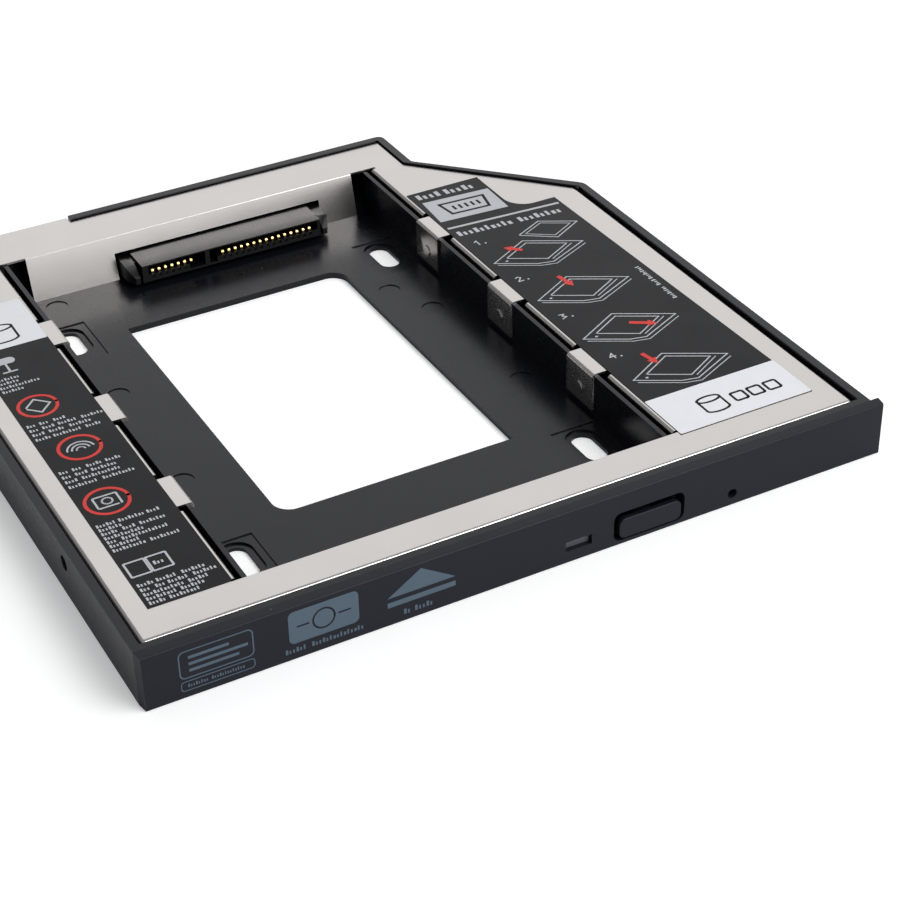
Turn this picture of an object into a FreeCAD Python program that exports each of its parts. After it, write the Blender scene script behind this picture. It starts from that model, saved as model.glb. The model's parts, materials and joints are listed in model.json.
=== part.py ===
"""Drive caddy that fills a slim optical-drive bay and holds one 2.5 inch drive.

Frame: millimetres, +Z up, +X to the right, the bezel faces -Y.
Origin: centre of the outer box, on the surface the caddy lies on.
"""
import FreeCAD
import Part

import math
import os

import Sketcher

V = FreeCAD.Vector
doc = FreeCAD.newDocument("drive_caddy")
sheet = doc.addObject("Spreadsheet::Sheet", "sizes")


class Size:
    """A length that knows its number and the sheet formula it comes from."""

    def __init__(self, value, text):
        self.value = float(value)
        self.text = text

    def __add__(self, other):
        other = as_size(other)
        return Size(self.value + other.value, "(%s + %s)" % (self.text, other.text))

    def __sub__(self, other):
        other = as_size(other)
        return Size(self.value - other.value, "(%s - %s)" % (self.text, other.text))

    def __mul__(self, factor):
        factor = as_size(factor)
        return Size(self.value * factor.value, "(%s * %s)" % (self.text, factor.text))

    def __truediv__(self, factor):
        factor = as_size(factor)
        return Size(self.value / factor.value, "(%s / %s)" % (self.text, factor.text))

    def __neg__(self):
        return Size(-self.value, "(-1 * %s)" % self.text)


def as_size(number):
    """Wraps a plain number, such as 0 or a count, as a Size."""
    if isinstance(number, Size):
        return number
    return Size(number, repr(float(number)))


class Sizes:
    """Writes each driving dimension as a named cell of the sheet and keeps it as a Size."""

    def __init__(self, table):
        for row, (alias, value) in enumerate(table.items(), 1):
            sheet.set("A%d" % row, alias)
            sheet.set("B%d" % row, "%g" % value)
            sheet.setAlias("B%d" % row, alias)
            setattr(self, alias, Size(value, "sizes.%s" % alias))


SIZES = {
    # outer form
    "tray_width": 126.1,
    "bezel_width": 127.6,
    "body_depth": 125.1,
    "bezel_depth": 1.9,
    "body_height": 9.5,
    "corner_cut_margin": 9.6,
    "corner_cut_step": 12.9,
    "corner_cut_slope": 1.03,
    "corner_lean": 1.0,
    "corner_radius": 2.4,
    "rear_corner_radius": 1.3,
    # tray walls
    "floor_height": 1.2,
    "side_wall": 1.5,
    "front_wall": 1.3,
    "bay_wall": 0.8,
    "rib_wall": 0.8,
    # drive bay
    "left_strip": 21.1,
    "drive_width": 69.85,
    "drive_clearance": 0.775,
    "drive_hole_pitch": 61.72,
    "slot_pitch": 73.2,
    "slot_offset": -1.25,
    "slot_side_shift": -0.35,
    "slot_width": 3.8,
    "slot_length": 8.0,
    "slot_seat_margin": 1.0,
    "slot_seat_depth": 0.35,
    "slot_recess_side": 2.2,
    "slot_recess_end": 2.3,
    "slot_recess_shift": -0.7,
    "slot_recess_depth": 0.2,
    "window_left_inset": 14.5,
    "window_right_inset": 14.9,
    "window_front_inset": 21.7,
    "window_rear_inset": 17.3,
    "window_radius": 3.2,
    # steel cover
    "sheet_gauge": 0.4,
    "cover_drop": 0.4,
    "cover_gap": 0.3,
    "cover_roll": 0.9,
    "skirt_depth": 2.4,
    "lip_gap": 0.85,
    "lip_depth": 1.9,
    "lip_roll": 0.7,
    "lip_relief": 1.0,
    "end_notch": 0.6,
    "front_band": 8.3,
    "rear_band": 13.3,
    "bulkhead_roll": 2.1,
    "bulkhead_left_inset": 3.3,
    "bulkhead_right_inset": 2.7,
    "corner_notch": 2.5,
    "cutout_margin": 0.4,
    "tab_width": 8.1,
    "tab_pitch": 26.9,
    "tab_offset": 0.25,
    "tab_relief": 1.4,
    "tab_low": 2.1,
    "tab_root": 2.2,
    "dimple_z": 4.5,
    "dimple_radius": 1.1,
    "dimple_height": 0.22,
    # drive socket
    "socket_offset": 4.8,
    "contact_pitch": 1.27,
    "contact_places": 26,
    "signal_contacts": 7,
    "power_contacts": 15,
    "socket_reach": 5.2,
    "socket_depth": 9.7,
    "socket_height": 3.4,
    "socket_margin": 2.1,
    "socket_back_wall": 1.2,
    "socket_top_wall": 0.25,
    "slot_side": 0.95,
    "slot_side_right": 1.5,
    "signal_key_step": 2.65,
    "lip_top": 3.6,
    "comb_low": 2.85,
    "comb_height": 0.55,
    "comb_width": 0.6,
    "comb_depth": 0.5,
    "key_floor": 2.6,
    "key_wall": 0.9,
    "key_left": 3.1,
    "key_right": 1.5,
    "guide_width": 1.9,
    "guide_drop": 0.55,
    "guide_groove": 0.5,
    "guide_groove_depth": 3.0,
    "guide_ramp_length": 2.3,
    "guide_ramp_height": 1.6,
    "guide_nose_length": 2.0,
    "guide_nose_width": 1.0,
    "contact_width": 0.55,
    "contact_gauge": 0.25,
    "contact_setback": 0.4,
    "contact_rise": 0.4,
    "contact_crown": 0.3,
    "contact_slope": 0.7,
    "contact_tail": 0.9,
    "contact_gap": 0.05,
    # board and screws
    "board_gauge": 1.0,
    "board_gap": 2.0,
    "board_left_margin": 3.8,
    "board_right_margin": 4.3,
    "board_depth": 9.0,
    "post_radius": 1.45,
    "post_gap": 0.1,
    "screw_left_step": 3.9,
    "screw_right_step": 26.7,
    "screw_set_in": 7.6,
    "screw_radius": 0.8,
    "screw_length": 1.7,
    "screw_head_radius": 2.0,
    "screw_head_height": 0.7,
    "screw_drive_reach": 0.9,
    "screw_drive_width": 0.4,
    "screw_drive_depth": 0.35,
    "screw_gap": 0.06,
    # rear plug
    "plug_left_margin": 4.9,
    "plug_width": 30.4,
    "plug_height": 4.6,
    "plug_depth": 6.4,
    "plug_setback": 0.5,
    "plug_wall": 0.8,
    "plug_ear": 3.4,
    "plug_mouth_depth": 5.2,
    "plug_signal_inset": 6.4,
    "plug_power_step": 4.6,
    "plug_power_contacts": 6,
    "tongue_gauge": 1.2,
    "tongue_margin": 0.8,
    "tongue_length": 4.6,
    "pad_gauge": 0.1,
    "pad_width": 0.6,
    "pad_length": 4.0,
    "power_pitch": 1.0,
    "port_left_margin": 3.0,
    "port_width": 33.6,
    "port_overrun": 1.0,
    # bezel details
    "button_step": 76.8,
    "button_length": 12.8,
    "button_low": 0.75,
    "button_height": 5.2,
    "button_radius": 1.3,
    "button_gap": 0.2,
    "button_top_gap": 0.45,
    "button_left_gap": 0.45,
    "button_travel": 0.8,
    "button_clearance": 0.1,
    "stem_width": 3.0,
    "stem_height": 2.0,
    "stem_gap": 0.1,
    "catch_height": 0.4,
    "stem_catch": 0.5,
    "spring_gauge": 0.2,
    "spring_half_span": 4.5,
    "spring_foot": 1.0,
    "spring_crown": 1.0,
    "spring_seat": 0.02,
    "lens_step": 8.5,
    "lens_length": 4.6,
    "lens_low": 2.15,
    "lens_height": 1.75,
    "lens_sink": 0.8,
    "lens_gap": 0.05,
    "lens_flange": 0.5,
    "lens_flange_gauge": 0.6,
    "pin_hole_step": 9.0,
    "pin_hole_z": 2.2,
    "pin_hole_radius": 0.85,
    "hook_width": 4.2,
    "hook_gap": 0.15,
    "hook_left_step": 15.8,
    "hook_middle_step": 10.5,
    "hook_right_step": 5.0,
    "hook_lift": 1.6,
    "hook_gauge": 1.0,
    "hook_barb": 0.35,
    "hook_barb_length": 0.5,
    "end_taper": 0.35,
    "bezel_edge": 0.25,
    # mounting hole in the left side
    "side_hole_step": 28.25,
    "side_hole_z": 6.3,
    "side_hole_radius": 1.25,
    "side_hole_notch": 0.6,
    # printed labels
    "label_gauge": 0.1,
    "left_label_margin": 5.6,
    "label_lip_margin": 0.75,
    "left_label_front_margin": 0.15,
    "left_label_rear_margin": 10.7,
    "right_label_front_margin": 7.4,
    "right_label_margin": 6.0,
    "right_label_slant": 1.5,
    "right_label_shoulder_step": 1.6,
    "right_label_block_share": 0.637,
    "right_label_rear_share": 0.388,
    "right_label_curve_share": 0.5,
}
s = Sizes(SIZES)
doc.recompute()

# places worked out from the driving dimensions
front = (s.body_depth + s.bezel_depth) / -2
tray_front = front + s.bezel_depth
rear = tray_front + s.body_depth
left = s.bezel_width / -2
right = left + s.tray_width
bezel_right = left + s.bezel_width
top = s.body_height
floor_top = s.floor_height
cover_top = top - s.cover_drop
cover_under = cover_top - s.sheet_gauge
inner_left = left + s.side_wall
inner_right = right - s.side_wall
inner_front = tray_front + s.front_wall
inner_rear = rear - s.side_wall
HALF_CORNER = math.tan(math.radians(22.5))
# drive bay, from the strip on its left and the drive's own width
bay_left = left + s.left_strip
bay_right = bay_left + s.drive_width + s.drive_clearance * 2
bay_centre_x = (bay_left + bay_right) / 2
opening_front = tray_front + s.front_band
bulkhead_y = rear - s.rear_band
opening_rear = bulkhead_y + s.corner_notch
bay_front = opening_front - s.bay_wall * 2
cross_wall = bay_front - s.bay_wall
bay_centre_y = (opening_front + bulkhead_y) / 2
slot_centre_x = bay_centre_x + s.slot_side_shift
slot_centre_y = bay_centre_y + s.slot_offset
window_left = bay_left + s.window_left_inset
window_right = bay_right - s.window_right_inset
window_front = opening_front + s.window_front_inset
window_rear = bulkhead_y - s.window_rear_inset
# cut corner at the rear right, at 45 degrees
cut_x = bay_right + s.corner_cut_margin
cut_y = rear - s.corner_cut_step
cut_end_y = cut_y - (right - cut_x) * s.corner_cut_slope
# steel cover
cover_left = inner_left + s.cover_gap
cover_right = inner_right - s.cover_gap
cover_front = inner_front + s.cover_gap
cover_rear = inner_rear - s.cover_gap
cover_side = s.side_wall + s.cover_gap
lip_left = bay_left - s.bay_wall - s.lip_gap
lip_right = bay_right + s.bay_wall + s.lip_gap
bulkhead_left = bay_left + s.bulkhead_left_inset
bulkhead_right = bay_right - s.bulkhead_right_inset
tab_middle_y = bay_centre_y + s.tab_offset
TAB_STEPS = (-1, 0, 1)
# drive socket and its contacts
socket_x = bay_centre_x + s.socket_offset
socket_front = bulkhead_y - s.socket_reach
socket_rear = socket_front + s.socket_depth
first_contact = socket_x - s.contact_pitch * (s.contact_places - 1) / 2
last_contact = first_contact + s.contact_pitch * (s.contact_places - 1)
last_signal = first_contact + s.contact_pitch * (s.signal_contacts - 1)
first_power = last_contact - s.contact_pitch * (s.power_contacts - 1)
socket_left = first_contact - s.socket_margin
socket_right = last_contact + s.socket_margin
guide_left = socket_left - s.guide_groove - s.guide_width
guide_right = socket_right + s.guide_groove + s.guide_width
# board and screws
board_front = bulkhead_y + s.sheet_gauge + s.board_gap
board_left = left + s.board_left_margin
board_right = cut_x - s.board_right_margin
board_top = floor_top + s.board_gauge
socket_top = board_top + s.socket_height
screw_y = bulkhead_y + s.screw_set_in
# rear plug and the port that it looks out of
port_left = left + s.port_left_margin
port_right = port_left + s.port_width
flap_left = port_left + s.cover_gap
flap_right = port_right - s.cover_gap
plug_left = left + s.plug_left_margin
plug_right = plug_left + s.plug_width
plug_rear = rear - s.plug_setback
plug_front = plug_rear - s.plug_depth
plug_top = board_top + s.plug_height
SCREW_PLACES = (plug_right + s.screw_left_step, socket_x + s.screw_right_step)
tongue_low = board_top + (s.plug_height - s.tongue_gauge) / 2
tongue_top = tongue_low + s.tongue_gauge
tongue_root = plug_rear - s.plug_mouth_depth
plug_signal_x = plug_left + s.plug_signal_inset
plug_signal_end = plug_signal_x + s.contact_pitch * (s.signal_contacts - 1)
plug_power_x = plug_signal_end + s.plug_power_step
plug_power_end = plug_power_x + s.power_pitch * (s.plug_power_contacts - 1)
# bezel openings, button and hooks
button_left = left + s.button_step
button_right = button_left + s.button_length
button_x = (button_left + button_right) / 2
button_z = s.button_low + s.button_height / 2
lens_left = button_left - s.lens_step
lens_right = lens_left + s.lens_length
pin_hole_x = button_right + s.pin_hole_step
HOOK_PLACES = (left + s.hook_left_step, lens_left - s.hook_middle_step, pin_hole_x + s.hook_right_step)
hook_low = floor_top + s.hook_lift
hook_high = hook_low + s.hook_gauge
stem_left = button_x - s.stem_width / 2
stem_right = button_x + s.stem_width / 2
stem_low = button_z - s.stem_height / 2
stem_high = button_z + s.stem_height / 2
button_back = tray_front - s.button_travel - s.button_clearance
stem_end = inner_front + s.stem_gap + s.stem_catch
spring_start = stem_end + s.spring_seat
spring_end = cross_wall - s.spring_seat
side_hole_y = tray_front + s.side_hole_step
# printed labels
left_label_left = left + s.left_label_margin
left_label_right = lip_left - s.label_lip_margin
left_label_front = opening_front + s.left_label_front_margin
left_label_rear = bulkhead_y - s.left_label_rear_margin
right_label_left = lip_right + s.label_lip_margin
right_label_front = tray_front + s.right_label_front_margin
right_label_far = right - s.right_label_margin
right_label_far_rear = right_label_far - s.right_label_slant
right_label_shoulder = cut_end_y - s.right_label_shoulder_step
right_label_rear = right_label_shoulder + (cover_rear - right_label_shoulder) * s.right_label_rear_share
right_label_block = right_label_left + (right_label_far_rear - right_label_left) * s.right_label_block_share
right_label_curve = (right_label_far_rear - right_label_block) * s.right_label_curve_share


def pin(thing, path, size):
    """Binds one property of an object to the sheet."""
    thing.setExpression(path, as_size(size).text)


def box(name, x0, x1, y0, y1, z0, z1):
    """A block between two corners."""
    block = doc.addObject("Part::Box", name)
    x0, x1, y0, y1, z0, z1 = (as_size(v) for v in (x0, x1, y0, y1, z0, z1))
    pin(block, "Length", x1 - x0)
    pin(block, "Width", y1 - y0)
    pin(block, "Height", z1 - z0)
    pin(block, "Placement.Base.x", x0)
    pin(block, "Placement.Base.y", y0)
    pin(block, "Placement.Base.z", z0)
    return block


def rod(name, radius, x, y, z, length, axis="z"):
    """A cylinder from a point along +X, +Y or +Z."""
    bar = doc.addObject("Part::Cylinder", name)
    turns = {"z": ((0, 0, 1), 0), "x": ((0, 1, 0), 90), "y": ((1, 0, 0), -90)}
    direction, angle = turns[axis]
    bar.Placement = FreeCAD.Placement(V(0, 0, 0), FreeCAD.Rotation(V(*direction), angle))
    pin(bar, "Radius", radius)
    pin(bar, "Height", length)
    pin(bar, "Placement.Base.x", x)
    pin(bar, "Placement.Base.y", y)
    pin(bar, "Placement.Base.z", z)
    return bar


def joined(name, pieces):
    """Several overlapping or touching blocks as one."""
    fuse = doc.addObject("Part::MultiFuse", name)
    fuse.Shapes = pieces
    fuse.Refine = True
    return fuse


def group(name, pieces):
    """Separate solids that share one file."""
    bundle = doc.addObject("Part::Compound", name)
    bundle.Links = pieces
    return bundle


def cut(name, base, tools):
    """A base with each tool taken out of it."""
    tool = tools[0] if len(tools) == 1 else joined(name + "_tool", tools)
    result = doc.addObject("Part::Cut", name)
    result.Base = base
    result.Tool = tool
    result.Refine = True
    return result


def plane(body, role):
    """One of the body's own origin planes."""
    return next(item for item in body.Origin.OriginFeatures if item.Role == role)


def sketch_on(body, name, role, offset=0):
    """An empty sketch on an origin plane of the body, moved along its normal."""
    sketch = body.newObject("Sketcher::SketchObject", name)
    sketch.AttachmentSupport = (plane(body, role), [""])
    sketch.MapMode = "FlatFace"
    pin(sketch, "AttachmentOffset.Base.z", offset)
    return sketch


def lock(sketch, geometry, vertex, x, y):
    """Holds one point of a sketch at a place measured from its origin."""
    for kind, size in (("DistanceX", as_size(x)), ("DistanceY", as_size(y))):
        index = sketch.addConstraint(Sketcher.Constraint(kind, -1, 1, geometry, vertex, size.value))
        pin(sketch, "Constraints[%d]" % index, size)


def polygon(sketch, points):
    """A closed outline whose corners are all bound to the sheet."""
    points = [(as_size(x), as_size(y)) for x, y in points]
    first = sketch.GeometryCount
    count = len(points)
    for i, (x, y) in enumerate(points):
        nx, ny = points[(i + 1) % count]
        sketch.addGeometry(Part.LineSegment(V(x.value, y.value, 0), V(nx.value, ny.value, 0)), False)
    for i, (x, y) in enumerate(points):
        following = first + (i + 1) % count
        sketch.addConstraint(Sketcher.Constraint("Coincident", first + i, 2, following, 1))
        lock(sketch, first + i, 1, x, y)


def rectangle(sketch, x0, x1, y0, y1):
    """A closed rectangle between two corners."""
    polygon(sketch, [(x0, y0), (x1, y0), (x1, y1), (x0, y1)])


def circle(sketch, x, y, radius):
    """A full circle bound to the sheet."""
    x, y, radius = (as_size(v) for v in (x, y, radius))
    ring = sketch.addGeometry(Part.Circle(V(x.value, y.value, 0), V(0, 0, 1), radius.value), False)
    lock(sketch, ring, 3, x, y)
    index = sketch.addConstraint(Sketcher.Constraint("Radius", ring, radius.value))
    pin(sketch, "Constraints[%d]" % index, radius)


def slot(sketch, x, y, width, length):
    """A slot with round ends that runs along the second axis of the sketch."""
    x, y, width, length = (as_size(v) for v in (x, y, width, length))
    r = width / 2
    reach = length / 2 - r
    high = y + reach
    low = y - reach
    upper = Part.ArcOfCircle(Part.Circle(V(x.value, high.value, 0), V(0, 0, 1), r.value), 0, math.pi)
    lower = Part.ArcOfCircle(Part.Circle(V(x.value, low.value, 0), V(0, 0, 1), r.value), math.pi, 2 * math.pi)
    a = sketch.addGeometry(upper, False)
    b = sketch.addGeometry(Part.LineSegment(V((x - r).value, high.value, 0), V((x - r).value, low.value, 0)), False)
    c = sketch.addGeometry(lower, False)
    d = sketch.addGeometry(Part.LineSegment(V((x + r).value, low.value, 0), V((x + r).value, high.value, 0)), False)
    for one, end, two, start in ((a, 2, b, 1), (b, 2, c, 1), (c, 2, d, 1), (d, 2, a, 1)):
        sketch.addConstraint(Sketcher.Constraint("Tangent", one, end, two, start))
    lock(sketch, a, 3, x, high)
    lock(sketch, c, 3, x, low)
    index = sketch.addConstraint(Sketcher.Constraint("Radius", a, r.value))
    pin(sketch, "Constraints[%d]" % index, r)


def pad(body, name, sketch, length, backwards=False):
    """Adds the sketch's outline to the body."""
    feature = body.newObject("PartDesign::Pad", name)
    feature.Profile = sketch
    feature.Reversed = backwards
    pin(feature, "Length", length)
    return feature


def pocket(body, name, sketch, depth, backwards=False):
    """Takes the sketch's outline out of the body."""
    feature = body.newObject("PartDesign::Pocket", name)
    feature.Profile = sketch
    feature.Reversed = backwards
    pin(feature, "Length", depth)
    return feature


def same_spot(one, other):
    """True where two points of a plane are the same within the kernel's own rounding."""
    return math.dist(one, other) < 1e-4


def edges_along(feature, axis, places):
    """Names of the straight edges along one axis, found by their two other coordinates."""
    doc.recompute()
    others = [i for i in range(3) if i != "xyz".index(axis)]
    found = []
    for i, edge in enumerate(feature.Shape.Edges):
        ends = [vertex.Point for vertex in edge.Vertexes]
        if len(ends) != 2:
            continue
        spots = [(point[others[0]], point[others[1]]) for point in ends]
        if not same_spot(spots[0], spots[1]):
            continue
        if any(same_spot(spots[0], (as_size(a).value, as_size(b).value)) for a, b in places):
            found.append("Edge%d" % (i + 1))
    return found


def rounding(body, name, feature, edges, radius):
    """Rounds named edges of a feature."""
    fillet = body.newObject("PartDesign::Fillet", name)
    fillet.Base = (feature, edges)
    pin(fillet, "Radius", radius)
    return fillet


def repeated(body, name, feature, step, count):
    """Repeats a feature along X, the last copy ending the row."""
    row = body.newObject("PartDesign::LinearPattern", name)
    row.Originals = [feature]
    row.Direction = (plane(body, "X_Axis"), [""])
    pin(row, "Length", step * (count - 1))
    pin(row, "Occurrences", count)
    body.Tip = row
    return row


def diagonal(margin):
    """The two ends of the cut corner's slant, set in from the tray's outside, less so at its inner end."""
    shift = as_size(margin) * HALF_CORNER
    return [(right - margin, cut_end_y - shift), (cut_x - margin, cut_y - shift + s.corner_lean)]


def make_tray():
    """One moulded tray: floor, outer rim, bay walls, ribs, posts and openings."""
    body = doc.addObject("PartDesign::Body", "tray")
    outline = sketch_on(body, "tray_outline", "XY_Plane")
    polygon(outline, [(left, tray_front), (right, tray_front), (right, cut_end_y), (cut_x, cut_y),
                      (cut_x, rear), (left, rear)])
    block = pad(body, "tray_block", outline, top)
    blunt = rounding(body, "tray_side_corner", block, edges_along(block, "z", [(right, cut_end_y)]),
                     s.corner_radius)
    rounding(body, "tray_rear_corners", blunt, edges_along(
        blunt, "z", [(cut_x, rear), (cut_x, cut_y), (left, rear)]), s.rear_corner_radius)

    hollow = sketch_on(body, "tray_hollow", "XY_Plane", floor_top)
    polygon(hollow, [(inner_left, inner_front), (inner_right, inner_front)]
            + diagonal(s.side_wall) + [(cut_x - s.side_wall, inner_rear), (inner_left, inner_rear)])
    pocket(body, "tray_inside", hollow, top, backwards=True)

    walls = sketch_on(body, "tray_walls", "XY_Plane", floor_top)
    wall_rear = opening_rear - s.cover_gap
    rectangle(walls, bay_left - s.bay_wall, bay_left, bay_front, wall_rear)
    rectangle(walls, bay_right, bay_right + s.bay_wall, bay_front, wall_rear)
    pad(body, "tray_bay_walls", walls, cover_under - floor_top)
    cross = sketch_on(body, "tray_cross_wall", "XY_Plane", floor_top)
    rectangle(cross, bay_left - s.bay_wall, bay_right + s.bay_wall, cross_wall, bay_front)
    pad(body, "tray_front_bay_wall", cross, cover_under - floor_top)

    ribs = sketch_on(body, "tray_ribs", "XY_Plane", floor_top)
    for step in TAB_STEPS:
        y = tab_middle_y + s.tab_pitch * (step - 0.5)
        far = bay_right + s.bay_wall + s.lip_roll * 2 + s.sheet_gauge
        near = bay_left - s.bay_wall - s.lip_roll * 2 - s.sheet_gauge
        rectangle(ribs, far, inner_right - s.cover_gap * 2 - s.cover_roll, y, y + s.rib_wall)
        rectangle(ribs, inner_left + s.cover_gap * 2 + s.cover_roll, near, y, y + s.rib_wall)
    pad(body, "tray_cross_ribs", ribs, cover_under - floor_top)

    posts = sketch_on(body, "tray_posts", "XY_Plane", floor_top)
    for x in SCREW_PLACES:
        circle(posts, x, screw_y, s.post_radius)
    pad(body, "tray_board_posts", posts, s.board_gauge)
    pilots = sketch_on(body, "tray_pilots", "XY_Plane", board_top)
    for x in SCREW_PLACES:
        circle(pilots, x, screw_y, s.screw_radius + s.screw_gap)
    pocket(body, "tray_post_holes", pilots, s.screw_length + s.screw_gap)

    window = sketch_on(body, "tray_window", "XY_Plane", floor_top)
    rectangle(window, window_left, window_right, window_front, window_rear)
    opened = pocket(body, "tray_floor_window", window, floor_top)
    rounding(body, "tray_window_corners", opened, edges_along(
        opened, "z", [(window_left, window_front), (window_right, window_rear)]), s.window_radius)

    recess = sketch_on(body, "tray_recess", "XY_Plane", floor_top)
    seats = sketch_on(body, "tray_seats", "XY_Plane", floor_top - s.slot_recess_depth)
    slots = sketch_on(body, "tray_slots", "XY_Plane", floor_top)
    for side in (-1, 1):
        for end in (-1, 1):
            x = slot_centre_x + s.drive_hole_pitch * (side / 2)
            y = slot_centre_y + s.slot_pitch * (end / 2)
            half = s.slot_width / 2 + s.slot_recess_side
            middle = y + s.slot_recess_shift
            reach = s.slot_length / 2 + s.slot_recess_end
            rectangle(recess, x - half, x + half, middle - reach, middle + reach)
            slot(seats, x, y, s.slot_width + s.slot_seat_margin * 2, s.slot_length + s.slot_seat_margin * 2)
            slot(slots, x, y, s.slot_width, s.slot_length)
    pocket(body, "tray_slot_recesses", recess, s.slot_recess_depth)
    pocket(body, "tray_slot_seats", seats, s.slot_seat_depth)
    pocket(body, "tray_drive_slots", slots, floor_top)

    port = sketch_on(body, "tray_port", "XY_Plane", floor_top)
    rectangle(port, port_left, port_right, inner_rear - s.port_overrun, rear + s.port_overrun)
    pocket(body, "tray_rear_port", port, top, backwards=True)

    gates = sketch_on(body, "tray_gates", "XZ_Plane", -tray_front)
    for x in HOOK_PLACES:
        gap = s.hook_gap
        rectangle(gates, x - s.hook_width / 2 - gap, x + s.hook_width / 2 + gap, hook_low - gap, hook_high + gap)
    rectangle(gates, stem_left - s.stem_gap, stem_right + s.stem_gap,
              stem_low - s.stem_gap, stem_high + s.stem_gap)
    pocket(body, "tray_front_gates", gates, s.front_wall)

    hole = sketch_on(body, "tray_side_hole", "YZ_Plane", left)
    circle(hole, side_hole_y, s.side_hole_z, s.side_hole_radius)
    pocket(body, "tray_mounting_hole", hole, s.side_wall, backwards=True)
    return body


def make_cover():
    """One folded steel sheet: skirt, bay opening with rolled lips, tabs and bulkhead."""
    body = doc.addObject("PartDesign::Body", "top_cover")
    gauge = s.sheet_gauge
    outline = sketch_on(body, "cover_outline", "XY_Plane", cover_top)
    polygon(outline, [(cover_left, cover_front), (cover_right, cover_front)] + diagonal(cover_side)
            + [(cut_x - cover_side, cover_rear), (flap_right, cover_rear), (flap_right, rear),
               (flap_left, rear), (flap_left, cover_rear), (cover_left, cover_rear)])
    drawn = pad(body, "cover_block", outline, s.skirt_depth, backwards=True)
    outer = edges_along(drawn, "x", [(cover_front, cover_top)])
    outer += edges_along(drawn, "y", [(cover_left, cover_top), (cover_right, cover_top)])
    outer += edges_along(drawn, "z", [(cover_left, cover_front), (cover_right, cover_front)])
    rounding(body, "cover_outer_roll", drawn, outer, s.cover_roll)

    inside = sketch_on(body, "cover_inside", "XY_Plane", cover_top - s.skirt_depth)
    rectangle(inside, cover_left + gauge, cover_right - gauge, cover_front + gauge, rear + s.port_overrun)
    hollow = pocket(body, "cover_hollow", inside, s.skirt_depth - gauge, backwards=True)
    inner = edges_along(hollow, "x", [(cover_front + gauge, cover_under)])
    inner += edges_along(hollow, "y", [(cover_left + gauge, cover_under), (cover_right - gauge, cover_under)])
    inner += edges_along(hollow, "z", [(cover_left + gauge, cover_front + gauge),
                                       (cover_right - gauge, cover_front + gauge)])
    rounding(body, "cover_inner_roll", hollow, inner, s.cover_roll - gauge)

    opening = sketch_on(body, "cover_opening", "XY_Plane", cover_top)
    lip_start = opening_front + s.end_notch
    lip_end = opening_rear - s.end_notch
    deep_left = lip_left - s.lip_relief
    deep_right = lip_right + s.lip_relief
    polygon(opening, [(deep_left, opening_front), (deep_right, opening_front), (deep_right, lip_start),
                      (lip_right, lip_start), (lip_right, lip_end), (deep_right, lip_end),
                      (deep_right, opening_rear), (bulkhead_right, opening_rear),
                      (bulkhead_right, bulkhead_y), (bulkhead_left, bulkhead_y),
                      (bulkhead_left, opening_rear), (deep_left, opening_rear), (deep_left, lip_end),
                      (lip_left, lip_end), (lip_left, lip_start), (deep_left, lip_start)])
    pocket(body, "cover_bay_opening", opening, s.skirt_depth)
    lips = sketch_on(body, "cover_lip_outline", "XY_Plane", cover_top)
    rectangle(lips, lip_left - gauge, lip_left, lip_start, lip_end)
    rectangle(lips, lip_right, lip_right + gauge, lip_start, lip_end)
    rolled = pad(body, "cover_lips", lips, s.lip_depth, backwards=True)
    folds = edges_along(rolled, "y", [(lip_left, cover_top), (lip_right, cover_top)])
    bent = rounding(body, "cover_lip_roll", rolled, folds, s.lip_roll)
    hidden = edges_along(bent, "y", [(lip_left - gauge, cover_under), (lip_right + gauge, cover_under)])
    rounding(body, "cover_lip_inner_roll", bent, hidden, s.lip_roll - gauge)

    reliefs = sketch_on(body, "cover_relief_outline", "XY_Plane", cover_top)
    strips = sketch_on(body, "cover_strip_outline", "XY_Plane", cover_top)
    faces = sketch_on(body, "cover_face_outline", "XY_Plane", cover_top)
    left_face = bay_left + gauge
    right_face = bay_right - gauge
    for step in TAB_STEPS:
        y = tab_middle_y + s.tab_pitch * step
        low = y - s.tab_width / 2
        high = y + s.tab_width / 2
        rectangle(reliefs, lip_left - s.tab_root, lip_left, low - s.tab_relief, high + s.tab_relief)
        rectangle(reliefs, lip_right, lip_right + s.tab_root, low - s.tab_relief, high + s.tab_relief)
        rectangle(strips, lip_left - s.tab_root, left_face, low, high)
        rectangle(strips, right_face, lip_right + s.tab_root, low, high)
        rectangle(faces, bay_left, left_face, low, high)
        rectangle(faces, right_face, bay_right, low, high)
    pocket(body, "cover_reliefs", reliefs, s.skirt_depth)
    pad(body, "cover_tab_strips", strips, gauge, backwards=True)
    tabs = pad(body, "cover_tab_faces", faces, cover_top - s.tab_low, backwards=True)
    rounding(body, "cover_tab_roll", tabs,
             edges_along(tabs, "y", [(left_face, cover_top), (right_face, cover_top)]), s.lip_roll)

    wall = sketch_on(body, "cover_bulkhead_outline", "XY_Plane", cover_top)
    rectangle(wall, bulkhead_left, bulkhead_right, bulkhead_y, bulkhead_y + gauge)
    bulkhead = pad(body, "cover_bulkhead", wall, cover_top - floor_top, backwards=True)
    folded = rounding(body, "cover_bulkhead_inner_roll", bulkhead,
                      edges_along(bulkhead, "x", [(bulkhead_y + gauge, cover_under)]), s.bulkhead_roll - gauge)
    rounding(body, "cover_bulkhead_roll", folded,
             edges_along(folded, "x", [(bulkhead_y, cover_top)]), s.bulkhead_roll)
    doorway = sketch_on(body, "cover_doorway_outline", "XZ_Plane", -bulkhead_y)
    rectangle(doorway, guide_left - s.cutout_margin, guide_right + s.cutout_margin,
              0, socket_top + s.cutout_margin)
    pocket(body, "cover_socket_doorway", doorway, gauge)

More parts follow.
